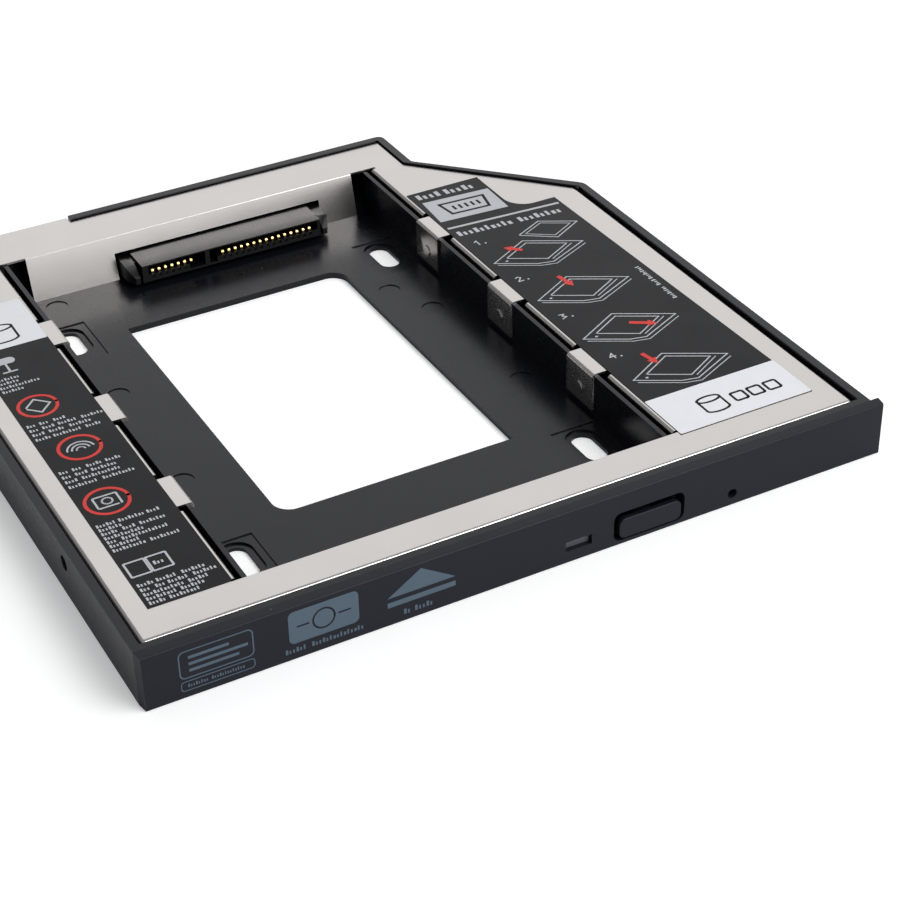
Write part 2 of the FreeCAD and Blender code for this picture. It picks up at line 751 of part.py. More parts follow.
    notch = sketch_on(body, "cover_skirt_notch_outline", "YZ_Plane", cover_left + gauge)
    around = s.side_hole_radius + s.side_hole_notch
    rectangle(notch, side_hole_y - around, side_hole_y + around, floor_top, s.side_hole_z + around)
    pocket(body, "cover_skirt_notch", notch, s.side_wall)

    for name, face, backwards in (("left", left_face, False), ("right", right_face, True)):
        dimples = sketch_on(body, "cover_%s_dimple_outline" % name, "YZ_Plane", face)
        for step in TAB_STEPS:
            circle(dimples, tab_middle_y + s.tab_pitch * step, s.dimple_z, s.dimple_radius)
        pad(body, "cover_%s_dimples" % name, dimples, s.dimple_height, backwards=backwards)
    return body


def make_bezel():
    """The front strip with its button opening, lamp window, pin hole and snap hooks."""
    body = doc.addObject("PartDesign::Body", "bezel")
    outline = sketch_on(body, "bezel_outline", "XY_Plane")
    polygon(outline, [(left, tray_front), (left + s.end_taper, front), (bezel_right - s.end_taper, front),
                      (bezel_right, tray_front)])
    strip = pad(body, "bezel_strip", outline, top)
    rounding(body, "bezel_edges", strip, edges_along(strip, "x", [(front, 0), (front, top)]), s.bezel_edge)

    openings = sketch_on(body, "bezel_button_outline", "XZ_Plane", -front)
    button_high = s.button_low + s.button_height
    rectangle(openings, button_left, button_right, s.button_low, button_high)
    opened = pocket(body, "bezel_button_opening", openings, s.bezel_depth)
    corners = [(button_left, s.button_low), (button_left, button_high),
               (button_right, s.button_low), (button_right, button_high)]
    rounding(body, "bezel_button_corners", opened, edges_along(opened, "y", corners), s.button_radius)

    holes = sketch_on(body, "bezel_hole_outlines", "XZ_Plane", -front)
    lens_high = s.lens_low + s.lens_height
    rectangle(holes, lens_left, lens_right, s.lens_low, lens_high)
    circle(holes, pin_hole_x, s.pin_hole_z, s.pin_hole_radius)
    pocket(body, "bezel_window_and_pin_hole", holes, s.bezel_depth)
    rebate = sketch_on(body, "bezel_rebate_outline", "XZ_Plane", -tray_front)
    step = s.lens_flange
    rectangle(rebate, lens_left - step, lens_right + step, s.lens_low - step, lens_high + step)
    pocket(body, "bezel_lens_rebate", rebate, s.lens_flange_gauge, backwards=True)

    hooks = sketch_on(body, "bezel_hook_outline", "XZ_Plane", -tray_front)
    barbs = sketch_on(body, "bezel_barb_outline", "XZ_Plane", -(inner_front + s.hook_gap))
    for x in HOOK_PLACES:
        near = x - s.hook_width / 2
        far = x + s.hook_width / 2
        rectangle(hooks, near, far, hook_low, hook_high)
        rectangle(barbs, near, far, hook_high, hook_high + s.hook_barb)
    pad(body, "bezel_hooks", hooks, s.front_wall + s.hook_gap + s.hook_barb_length, backwards=True)
    pad(body, "bezel_barbs", barbs, s.hook_barb_length, backwards=True)
    return body


def make_button():
    """The push button, its stem through the tray wall and the catch that keeps it in."""
    body = doc.addObject("PartDesign::Body", "eject_button")
    gap = s.button_gap
    low = s.button_low + gap
    high = s.button_low + s.button_height - s.button_top_gap
    near = button_left + s.button_left_gap
    far = button_right - gap
    outline = sketch_on(body, "button_outline", "XZ_Plane", -front)
    rectangle(outline, near, far, low, high)
    plate = pad(body, "button_plate", outline, button_back - front, backwards=True)
    rounding(body, "button_corners", plate,
             edges_along(plate, "y", [(near, low), (near, high), (far, low), (far, high)]),
             s.button_radius - gap)
    stem = sketch_on(body, "button_stem_outline", "XZ_Plane", -button_back)
    rectangle(stem, stem_left, stem_right, stem_low, stem_high)
    pad(body, "button_stem", stem, stem_end - button_back, backwards=True)
    catch = sketch_on(body, "button_catch_outline", "XZ_Plane", -(stem_end - s.stem_catch))
    rectangle(catch, stem_left, stem_right, stem_low - s.catch_height, stem_high + s.catch_height)
    pad(body, "button_catch", catch, s.stem_catch, backwards=True)
    return body


def make_spring():
    """The bowed leaf between the button's stem and the tray's cross wall."""
    body = doc.addObject("PartDesign::Body", "button_spring")
    profile = sketch_on(body, "spring_profile", "XY_Plane", stem_low)
    foot_y = spring_end - s.spring_gauge
    bow = [(button_x - s.spring_half_span - s.spring_foot, foot_y), (button_x - s.spring_half_span, foot_y),
           (button_x - s.spring_crown, spring_start), (button_x + s.spring_crown, spring_start),
           (button_x + s.spring_half_span, foot_y), (button_x + s.spring_half_span + s.spring_foot, foot_y)]
    polygon(profile, bow + [(x, y + s.spring_gauge) for x, y in reversed(bow)])
    pad(body, "spring_leaf", profile, s.stem_height)
    return body


def make_lens():
    """The clear lamp window, kept in by a flange behind the bezel."""
    gap = s.lens_gap
    near = lens_left + gap
    far = lens_right - gap
    low = s.lens_low + gap
    high = s.lens_low + s.lens_height - gap
    step = s.lens_flange
    window = box("lens_window", near, far, front + s.lens_sink, tray_front, low, high)
    flange = box("lens_flange", near - step, far + step, tray_front - s.lens_flange_gauge + gap, tray_front,
                 low - step, high + step)
    return joined("led_lens", [window, flange])


def make_socket():
    """The socket that the drive's own plug slides into, with a guide post at each end."""
    body = doc.addObject("PartDesign::Body", "drive_socket")
    blocks = sketch_on(body, "socket_outline", "XY_Plane", board_top)
    rectangle(blocks, guide_left, guide_right, socket_front, socket_rear)
    pad(body, "socket_block", blocks, s.socket_height)
    grooves = sketch_on(body, "socket_groove_outline", "XY_Plane", socket_top)
    groove_end = socket_front + s.guide_groove_depth
    rectangle(grooves, guide_left + s.guide_width, socket_left, socket_front, groove_end)
    rectangle(grooves, socket_right, guide_right - s.guide_width, socket_front, groove_end)
    pocket(body, "socket_grooves", grooves, s.socket_height)
    shoulders = sketch_on(body, "socket_shoulder_outline", "XY_Plane", socket_top)
    rectangle(shoulders, guide_left, socket_left, socket_front, socket_rear)
    rectangle(shoulders, socket_right, guide_right, socket_front, socket_rear)
    pocket(body, "socket_shoulders", shoulders, s.guide_drop)
    guide_top = socket_top - s.guide_drop
    for name, end in (("left", guide_left + s.guide_width), ("right", guide_right)):
        ramp = sketch_on(body, "socket_%s_ramp_outline" % name, "YZ_Plane", end)
        polygon(ramp, [(socket_front, guide_top - s.guide_ramp_height), (socket_front, guide_top),
                       (socket_front + s.guide_ramp_length, guide_top)])
        pocket(body, "socket_%s_ramp" % name, ramp, s.guide_width)
    noses = sketch_on(body, "socket_nose_outline", "XY_Plane", socket_top)
    nose_end = socket_front + s.guide_nose_length
    polygon(noses, [(guide_left, socket_front), (guide_left + s.guide_nose_width, socket_front),
                    (guide_left, nose_end)])
    polygon(noses, [(guide_right, socket_front), (guide_right, nose_end),
                    (guide_right - s.guide_nose_width, socket_front)])
    pocket(body, "socket_noses", noses, s.socket_height)

    mouths = sketch_on(body, "socket_mouth_outline", "XZ_Plane", -socket_front)
    slot_top = socket_top - s.socket_top_wall
    signal_end = last_signal + s.signal_key_step
    power_start = signal_end + s.key_wall
    polygon(mouths, [(first_contact - s.slot_side, s.lip_top), (signal_end - s.key_left, s.lip_top),
                     (signal_end - s.key_left, s.key_floor), (signal_end, s.key_floor), (signal_end, slot_top),
                     (first_contact - s.slot_side, slot_top)])
    polygon(mouths, [(power_start, s.key_floor), (power_start + s.key_right, s.key_floor),
                     (power_start + s.key_right, s.lip_top), (last_contact + s.slot_side_right, s.lip_top),
                     (last_contact + s.slot_side_right, slot_top), (power_start, slot_top)])
    pocket(body, "socket_mouths", mouths, s.socket_depth - s.socket_back_wall)
    slits = sketch_on(body, "socket_slit_outline", "XZ_Plane", -socket_front)
    slit_top = s.lip_top + s.contact_gauge + s.contact_gap
    for start, end in ((first_contact, last_signal), (first_power, last_contact)):
        rectangle(slits, start - s.contact_width, end + s.contact_width, s.lip_top, slit_top)
    pocket(body, "socket_slits", slits, s.socket_depth)
    for name, first, count in (("signal", first_contact, s.signal_contacts), ("power", first_power, s.power_contacts)):
        comb = sketch_on(body, "socket_%s_comb_outline" % name, "XZ_Plane", -socket_front)
        rectangle(comb, first - s.comb_width / 2, first + s.comb_width / 2,
                  s.comb_low, s.comb_low + s.comb_height)
        tooth = pocket(body, "socket_%s_comb" % name, comb, s.comb_depth)
        repeated(body, "socket_%s_comb_row" % name, tooth, s.contact_pitch, count)
    return body


def make_contacts(name, first, count):
    """A row of sprung contacts, each crowned at the mouth and bent down onto the board."""
    body = doc.addObject("PartDesign::Body", name)
    body.AllowCompound = True
    tip = socket_front + s.contact_setback
    crown = s.lip_top + s.contact_rise
    ramp_end = tip + s.contact_crown * 2 + s.contact_slope
    bend = socket_rear + s.contact_gap
    gauge = s.contact_gauge
    profile = sketch_on(body, name + "_profile", "YZ_Plane", first - s.contact_width / 2)
    polygon(profile, [(tip, crown - s.contact_crown), (tip, crown), (tip + s.contact_crown, crown + s.contact_crown),
                      (tip + s.contact_crown * 2, crown + s.contact_crown), (ramp_end, s.lip_top + gauge),
                      (bend + gauge, s.lip_top + gauge), (bend + gauge, board_top + gauge),
                      (bend + s.contact_tail, board_top + gauge), (bend + s.contact_tail, board_top),
                      (bend, board_top), (bend, s.lip_top), (ramp_end - gauge, s.lip_top),
                      (tip + s.contact_crown, crown)])
    one = pad(body, name + "_first", profile, s.contact_width)
    repeated(body, name + "_row", one, s.contact_pitch, count)
    return body


def make_board():
    """The circuit board, held down on the floor by two screws into moulded posts."""
    blank = box("board_blank", board_left, board_right, board_front, board_front + s.board_depth,
                floor_top, board_top)
    holes = [rod("board_hole_%d" % i, s.post_radius + s.post_gap, x, screw_y, floor_top, s.board_gauge)
             for i, x in enumerate(SCREW_PLACES)]
    return cut("adapter_board", blank, holes)


def make_screws():
    """The two pan-head screws with cross recesses."""
    screws = []
    for i, x in enumerate(SCREW_PLACES):
        head_top = board_top + s.screw_head_height
        low = head_top - s.screw_drive_depth
        reach = s.screw_drive_reach
        half = s.screw_drive_width / 2
        head = rod("screw_head_%d" % i, s.screw_head_radius, x, screw_y, board_top, s.screw_head_height)
        shank = rod("screw_shank_%d" % i, s.screw_radius, x, screw_y, board_top - s.screw_length, s.screw_length)
        along = box("screw_cross_x_%d" % i, x - reach, x + reach, screw_y - half, screw_y + half, low, head_top)
        across = box("screw_cross_y_%d" % i, x - half, x + half, screw_y - reach, screw_y + reach, low, head_top)
        blank = joined("screw_blank_%d" % i, [head, shank])
        screws.append(cut("screw_%d" % i, blank, [along, across]))
    return group("board_screws", screws)


def make_plug():
    """The plug at the rear that the computer's bay connector takes, with its two tongues."""
    shell = box("plug_shell", plug_left, plug_right, plug_front, plug_rear, board_top, plug_top)
    mouth = box("plug_mouth", plug_left + s.plug_ear, plug_right - s.plug_ear, tongue_root, plug_rear,
                board_top + s.plug_wall, plug_top - s.plug_wall)
    tongues = []
    for name, start, end in (("signal", plug_signal_x, plug_signal_end), ("power", plug_power_x, plug_power_end)):
        tongues.append(box("plug_%s_tongue" % name, start - s.tongue_margin, end + s.tongue_margin,
                           tongue_root, tongue_root + s.tongue_length, tongue_low, tongue_top))
    return joined("rear_plug", [cut("plug_hollow", shell, [mouth])] + tongues)


def make_pads(name, first, step, count):
    """A row of flat contacts on top of one tongue of the rear plug."""
    body = doc.addObject("PartDesign::Body", name)
    body.AllowCompound = True
    outline = sketch_on(body, name + "_outline", "XY_Plane", tongue_top)
    rectangle(outline, first - s.pad_width / 2, first + s.pad_width / 2, tongue_root, tongue_root + s.pad_length)
    one = pad(body, name + "_first", outline, s.pad_gauge)
    repeated(body, name + "_row", one, step, count)
    return body


def make_left_label():
    """The plain rectangular label on the left strip of the cover."""
    return box("label_left", left_label_left, left_label_right, left_label_front, left_label_rear,
               cover_top, cover_top + s.label_gauge)


def make_right_label():
    """The shaped label on the right strip, with a curved shoulder beside the cut corner."""
    body = doc.addObject("PartDesign::Body", "label_right")
    outline = sketch_on(body, "label_outline", "XY_Plane", cover_top)
    polygon(outline, [(right_label_left, right_label_front), (right_label_far, right_label_front),
                      (right_label_far_rear, right_label_shoulder),
                      (right_label_block, right_label_shoulder),
                      (right_label_block, right_label_rear), (right_label_left, right_label_rear)])
    film = pad(body, "label_film", outline, s.label_gauge)
    rounding(body, "label_curve", film,
             edges_along(film, "z", [(right_label_block, right_label_shoulder)]), right_label_curve)
    return body


pieces = [
    make_tray(),
    make_cover(),
    make_bezel(),
    make_button(),
    make_spring(),
    make_lens(),
    make_socket(),
    make_contacts("signal_contacts", first_contact, s.signal_contacts),
    make_contacts("power_contacts", first_power, s.power_contacts),
    make_board(),
    make_screws(),
    make_plug(),
    make_pads("plug_signal_contacts", plug_signal_x, s.contact_pitch, s.signal_contacts),
    make_pads("plug_power_contacts", plug_power_x, s.power_pitch, s.plug_power_contacts),
    make_left_label(),
    make_right_label(),
]
doc.recompute()

for item in doc.Objects:
    if any(word in item.State for word in ("Invalid", "Error")):
        raise RuntimeError("%s could not be built: %s" % (item.Name, item.State))
os.makedirs("parts", exist_ok=True)
for piece in pieces:
    if piece.Shape.isNull() or not piece.Shape.isValid():
        raise RuntimeError("%s has no valid shape" % piece.Label)
    piece.Shape.exportStep("parts/%s.step" % piece.Label)
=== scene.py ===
"""Looks of a slim drive caddy: moulded tray, steel cover, bezel, sockets and printed labels.

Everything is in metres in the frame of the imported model: +Z up, the bezel faces -Y.
"""
from __future__ import annotations

import json
import logging
import math
from collections.abc import Iterable
from dataclasses import dataclass
from enum import Enum

import bmesh
import bpy
from mathutils import Euler, Matrix, Vector

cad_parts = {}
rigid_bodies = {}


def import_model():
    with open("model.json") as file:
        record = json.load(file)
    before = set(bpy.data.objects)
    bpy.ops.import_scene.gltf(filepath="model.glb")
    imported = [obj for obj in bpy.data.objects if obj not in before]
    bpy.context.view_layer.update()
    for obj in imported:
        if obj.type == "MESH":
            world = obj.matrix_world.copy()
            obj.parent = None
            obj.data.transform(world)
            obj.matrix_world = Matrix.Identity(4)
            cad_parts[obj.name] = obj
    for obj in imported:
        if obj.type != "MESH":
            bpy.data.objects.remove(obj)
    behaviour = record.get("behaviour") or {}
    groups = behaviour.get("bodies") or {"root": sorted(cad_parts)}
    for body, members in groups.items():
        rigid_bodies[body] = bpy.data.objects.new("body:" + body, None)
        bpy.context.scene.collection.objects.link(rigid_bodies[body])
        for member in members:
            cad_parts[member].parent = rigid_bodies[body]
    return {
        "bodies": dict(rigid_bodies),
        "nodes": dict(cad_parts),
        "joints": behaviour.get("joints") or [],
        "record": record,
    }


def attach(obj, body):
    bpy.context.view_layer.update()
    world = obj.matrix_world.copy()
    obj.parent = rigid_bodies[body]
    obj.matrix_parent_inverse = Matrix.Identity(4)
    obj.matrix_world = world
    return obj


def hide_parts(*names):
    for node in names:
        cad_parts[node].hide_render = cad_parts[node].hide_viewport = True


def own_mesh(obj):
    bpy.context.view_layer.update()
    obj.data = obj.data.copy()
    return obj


log = logging.getLogger("drive_caddy")

MM = 0.001
NOISE_LOW, NOISE_HIGH = 0.3, 0.7  # most of a noise's values lie between these
MIX_FACTOR, MIX_A, MIX_B, MIX_RESULT = 0, 6, 7, 2  # a mix node's sockets for colours
Colour = tuple[float, float, float]
Place = tuple[float, float, float]
Point = tuple[float, float]
Box = tuple[float, float, float, float]


class Rides(str, Enum):
    """The two bodies of the model."""

    HOUSING = "housing"
    BUTTON = "button"


class Slot(str, Enum):
    """The names of the record's finishes."""

    PLASTIC = "black_plastic"
    STEEL = "sheet_steel"
    SPRING = "spring_steel"
    LENS = "clear_plastic"
    SOCKET = "socket_plastic"
    GOLD = "gold_contact"
    LABEL = "label_film"


def linear(code: str) -> Colour:
    """Turns a screen colour into scene light.

    Args:
        code: six hex digits.

    Returns:
        Red, green and blue in scene light.
    """
    parts = (int(code[i:i + 2], 16) / 255 for i in (0, 2, 4))
    return tuple(c / 12.92 if c <= 0.04045 else ((c + 0.055) / 1.055) ** 2.4 for c in parts)


def tint(colour: Colour, share: float) -> Colour:
    """Darkens or lightens a colour, up to white.

    Args:
        colour: in scene light.
        share: what it is multiplied by.

    Returns:
        The new colour.
    """
    return tuple(min(1.0, c * share) for c in colour)


def mm(*lengths: float) -> tuple[float, ...]:
    """Turns millimetres into metres.

    Args:
        lengths: in millimetres.

    Returns:
        The same lengths in metres.
    """
    return tuple(length * MM for length in lengths)


def spots(points: Iterable[Point]) -> list[Point]:
    """Turns points in millimetres into points in metres.

    Args:
        points: in millimetres.

    Returns:
        The same points in metres.
    """
    return [mm(*point) for point in points]


class Nodes:
    """Small helper that lays out one material's node tree."""

    def __init__(self, name: str) -> None:
        """Starts a material with a bare surface shader.

        Args:
            name: the material's name.
        """
        self.material = bpy.data.materials.new(name)
        self.material.use_nodes = True
        self.tree = self.material.node_tree
        self.shader = self.tree.nodes["Principled BSDF"]
        self.coords = self.tree.nodes.new("ShaderNodeTexCoord").outputs["Object"]

    def add(self, kind: str, **inputs: object) -> bpy.types.Node:
        """Adds a node and fills its inputs.

        Args:
            kind: the node's type name.
            inputs: values or sockets by input name, underscores for spaces.

        Returns:
            The new node.
        """
        node = self.tree.nodes.new(kind)
        for name, value in inputs.items():
            socket = node.inputs[name.replace("_", " ")]
            if isinstance(value, bpy.types.NodeSocket):
                self.tree.links.new(value, socket)
            else:
                socket.default_value = value
        return node

    def link(self, source: bpy.types.NodeSocket, name: str) -> None:
        """Joins a socket to one of the surface shader's inputs.

        Args:
            source: the socket.
            name: the input's name.
        """
        self.tree.links.new(source, self.shader.inputs[name])

    def noise(self, scale: float, detail: float, stretch: Vector | None = None) -> bpy.types.NodeSocket:
        """A noise over the piece's own coordinates.

        Args:
            scale: features per metre.
            detail: octaves.
            stretch: optional scale along each axis, for grain.

        Returns:
            The noise's factor.
        """
        where = self.coords
        if stretch is not None:
            where = self.add("ShaderNodeMapping", Vector=self.coords, Scale=stretch).outputs["Vector"]
        return self.add("ShaderNodeTexNoise", Vector=where, Scale=scale, Detail=detail).outputs["Fac"]

    def ramp(self, source: bpy.types.NodeSocket, low: float, high: float, a: float,
             b: float) -> bpy.types.NodeSocket:
        """Maps a factor from one range to another, clamped.

        Args:
            source: the factor.
            low: input that gives a.
            high: input that gives b.
            a: output at low.
            b: output at high.

        Returns:
            The mapped value.
        """
        node = self.add("ShaderNodeMapRange", Value=source, From_Min=low, From_Max=high, To_Min=a, To_Max=b)
        return node.outputs["Result"]

    def rough(self, scale: float, detail: float, low: float, high: float) -> None:
        """Varies the roughness over the piece.

        Args:
            scale: patches per metre.
            detail: octaves.
            low: roughness of the smoothest patches.
            high: roughness of the dullest patches.
        """
        self.link(self.ramp(self.noise(scale, detail), NOISE_LOW, NOISE_HIGH, low, high), "Roughness")

    def product(self, a: bpy.types.NodeSocket, b: bpy.types.NodeSocket) -> bpy.types.NodeSocket:
        """Multiplies two factors.

        Args:
            a: the first.
            b: the second.

        Returns:
            Their product.
        """
        node = self.tree.nodes.new("ShaderNodeMath")
        node.operation = "MULTIPLY"
        self.tree.links.new(a, node.inputs[0])
        self.tree.links.new(b, node.inputs[1])
        return node.outputs["Value"]

    def mix(self, factor: bpy.types.NodeSocket, a: Colour | bpy.types.NodeSocket,
            b: Colour | bpy.types.NodeSocket) -> bpy.types.NodeSocket:
        """Blends two colours.

        Args:
            factor: 0 gives a, 1 gives b.
            a: first colour.
            b: second colour.

        Returns:
            The blended colour.
        """
        node = self.tree.nodes.new("ShaderNodeMix")
        node.data_type = "RGBA"
        self.tree.links.new(factor, node.inputs[MIX_FACTOR])
        for socket, colour in ((node.inputs[MIX_A], a), (node.inputs[MIX_B], b)):
            if isinstance(colour, bpy.types.NodeSocket):
                self.tree.links.new(colour, socket)
            else:
                socket.default_value = (*colour, 1.0)
        return node.outputs[MIX_RESULT]

    def bump(self, height: bpy.types.NodeSocket, depth: float) -> None:
        """Raises the surface by a height.

        Args:
            height: the pattern, 0 to 1.
            depth: metres from its low to its high.
        """
        node = self.add("ShaderNodeBump", Height=height, Distance=depth, Strength=1.0)
        self.link(node.outputs["Normal"], "Normal")


@dataclass(frozen=True)
class MouldedPlastic:
    """Dyed plastic with a fine spark-eroded grain and a few pale dust specks."""

    name: str
    colour: Colour
    roughness: float = 0.42
    grain: float = 9000.0
    grain_depth: float = 1.6e-6
    dust: float = 0.12
    specular: float = 0.5
    clouds: float = 60.0
    smears: float = 240.0
    specks: float = 420.0
    speck_size: float = 0.035
    speck_edge: float = 0.05
    speck_areas: float = 170.0
    speck_colour: str = "b9bbc0"

    def make(self) -> bpy.types.Material:
        """Builds the material.

        Returns:
            The material.
        """
        n = Nodes(self.name)
        shade = n.mix(n.noise(self.clouds, 4.0), tint(self.colour, 0.9), tint(self.colour, 1.12))
        cells = n.add("ShaderNodeTexVoronoi", Vector=n.coords, Scale=self.specks, Randomness=1.0)
        dots = n.ramp(cells.outputs["Distance"], self.speck_size, self.speck_edge, 1.0, 0.0)
        chosen = n.ramp(n.noise(self.speck_areas, 1.0), 0.66, 0.7, 0.0, self.dust)
        n.link(n.mix(n.product(dots, chosen), shade, linear(self.speck_colour)), "Base Color")
        n.rough(self.smears, 5.0, self.roughness - 0.02, self.roughness + 0.03)
        n.shader.inputs["Specular IOR Level"].default_value = self.specular
        n.bump(n.noise(self.grain, 2.0), self.grain_depth)
        return n.material


@dataclass(frozen=True)
class SheetSteel:
    """Cold-rolled sheet with a satin coat: a fine even grain, soft clouds and faint rolling lines."""

    name: str
    colour: Colour
    roughness: float = 0.24
    grain: float = 700.0
    grain_depth: float = 1.5e-7
    rolling: float = 150.0
    clouds: float = 28.0
    patches: float = 75.0

    def make(self) -> bpy.types.Material:
        """Builds the material.

        Returns:
            The material.
        """
        n = Nodes(self.name)
        lines = n.noise(self.rolling, 3.0, Vector((1.0, 9.0, 9.0)))
        cloudy = n.mix(n.noise(self.clouds, 4.0), tint(self.colour, 0.975), self.colour)
        paler = n.mix(n.noise(self.clouds, 4.0), self.colour, tint(self.colour, 1.03))
        n.link(n.mix(n.ramp(lines, NOISE_LOW, NOISE_HIGH, 0.35, 0.65), cloudy, paler), "Base Color")
        n.shader.inputs["Metallic"].default_value = 1.0
        n.rough(self.patches, 5.0, self.roughness - 0.03, self.roughness + 0.04)
        n.bump(n.noise(self.grain, 2.0), self.grain_depth)
        return n.material


@dataclass(frozen=True)
class GoldPlate:
    """Thin gold over sprung copper alloy, a little uneven."""

    name: str
    colour: Colour

    def make(self) -> bpy.types.Material:
        """Builds the material.

        Returns:
            The material.
        """
        n = Nodes(self.name)
        n.link(n.mix(n.noise(900.0, 3.0), tint(self.colour, 0.85), self.colour), "Base Color")
        n.shader.inputs["Metallic"].default_value = 1.0
        n.rough(1500.0, 3.0, 0.2, 0.32)
        return n.material


@dataclass(frozen=True)
class FrostedLens:
    """Smoky clear plastic with a frosted back."""

    name: str
    colour: Colour

    def make(self) -> bpy.types.Material:
        """Builds the material.

        Returns:
            The material.
        """
        n = Nodes(self.name)
        n.link(n.mix(n.noise(700.0, 3.0), tint(self.colour, 0.9), self.colour), "Base Color")
        n.rough(1800.0, 2.0, 0.18, 0.26)
        n.shader.inputs["Transmission Weight"].default_value = 0.35
        return n.material


@dataclass(frozen=True)
class PrintedFilm:
    """Printed film or ink: an even colour with faint mottle under a thin coat."""

    name: str
    colour: Colour
    roughness: float = 0.38
    specular: float = 0.5

    def make(self) -> bpy.types.Material:
        """Builds the material.

        Returns:
            The material.
        """
        n = Nodes(self.name)
        n.link(n.mix(n.noise(420.0, 4.0), tint(self.colour, 0.93), self.colour), "Base Color")
        n.rough(90.0, 4.0, self.roughness - 0.05, self.roughness + 0.05)
        n.shader.inputs["Specular IOR Level"].default_value = self.specular
        n.bump(n.noise(2500.0, 3.0), 1.5e-6)
        return n.material


class Finishes:
    """Every finish of the caddy, built once."""

    def __init__(self) -> None:
        """Builds the materials."""
        self.tray = MouldedPlastic("tray_plastic", linear("0d0e14"), roughness=0.26, specular=0.32).make()
        self.bezel = MouldedPlastic("bezel_plastic", linear("171a23"), roughness=0.4, dust=0.3,
                                    specular=0.22).make()
        self.button = MouldedPlastic("button_plastic", linear("171a24"), roughness=0.36, dust=0.15,
                                     specular=0.24).make()
        self.socket = MouldedPlastic("socket_plastic", linear("0b0b0d"), roughness=0.28, dust=0.0).make()
        self.steel = SheetSteel("cover_steel", linear("cfcbc8")).make()
        self.screw = SheetSteel("screw_steel", linear("c4c4c6"), roughness=0.25).make()
        self.gold = GoldPlate("gold_plate", linear("f2d28a")).make()
        self.lens = FrostedLens("lamp_window", linear("6a6d75")).make()
        self.board = PrintedFilm("solder_mask", linear("0e1714"), roughness=0.3).make()
        self.film = PrintedFilm("label_black", linear("0d0d11"), roughness=0.34, specular=0.18).make()
        self.white_ink = PrintedFilm("ink_white", linear("eef0f4"), roughness=0.5).make()
        self.grey_ink = PrintedFilm("ink_grey", linear("c2c4c9"), roughness=0.5).make()
        self.red_ink = PrintedFilm("ink_red", linear("dc3027"), roughness=0.5).make()
        self.dark_ink = PrintedFilm("ink_dark", linear("0d0d10"), roughness=0.5, specular=0.2).make()
        self.bezel_ink = PrintedFilm("ink_bezel", linear("4f5f6d"), roughness=0.55, specular=0.3).make()


def finished(name: str, bm: bmesh.types.BMesh, material: bpy.types.Material, body: Rides,
             replaced: tuple[str, ...] = ()) -> bpy.types.Object:
    """Turns a bmesh into a piece of the caddy.

    Args:
        name: the piece's name.
        bm: its shape, which is freed.
        material: its finish.
        body: the body that it moves with.
        replaced: model nodes that it is shown in place of.

    Returns:
        The new object.
    """
    mesh = bpy.data.meshes.new(name)
    bm.to_mesh(mesh)
    bm.free()
    mesh.materials.append(material)
    piece = bpy.data.objects.new(name, mesh)
    bpy.context.scene.collection.objects.link(piece)
    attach(piece, body.value)
    if replaced:
        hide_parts(*replaced)
    return piece


def node_shape(frame: dict, node: str) -> bmesh.types.BMesh:
    """A merged copy of a model node, with its flat faces whole again.

    Args:
        frame: the loaded frame.
        node: the node's name.

    Returns:
        The copy.
    """
    bm = bmesh.new()
    bm.from_mesh(frame["nodes"][node].data)
    bmesh.ops.remove_doubles(bm, verts=bm.verts[:], dist=1e-6)
    bmesh.ops.dissolve_limit(bm, angle_limit=math.radians(0.5), verts=bm.verts[:], edges=bm.edges[:],
                             delimit={"NORMAL"})
    return bm


def soften(bm: bmesh.types.BMesh, width: float, segments: int = 2, angle: float = 35.0) -> None:
    """Breaks the sharp outer edges of a moulded piece, as its mould does.

    Args:
        bm: the piece.
        width: how far the rounding reaches, in metres.
        segments: facets across it.
        angle: edges sharper than this many degrees are rounded.
    """
    sharp = [e for e in bm.edges if e.is_manifold and e.calc_face_angle(0.0) > math.radians(angle)]
    bmesh.ops.bevel(bm, geom=sharp, offset=width, offset_type="OFFSET", affect="EDGES", segments=segments,
                    profile=0.5, material=-1, clamp_overlap=True)


def shade(piece: bpy.types.Object, angle: float = 32.0) -> None:
    """Smooth shading across faces that meet at less than an angle in degrees, led by the larger faces.

    Args:
        piece: the piece to shade.
        angle: edges sharper than this stay sharp.
    """
    piece.data.shade_smooth()
    piece.data.set_sharp_from_angle(angle=math.radians(angle))
    even = piece.modifiers.new("even_normals", "WEIGHTED_NORMAL")
    even.keep_sharp = True


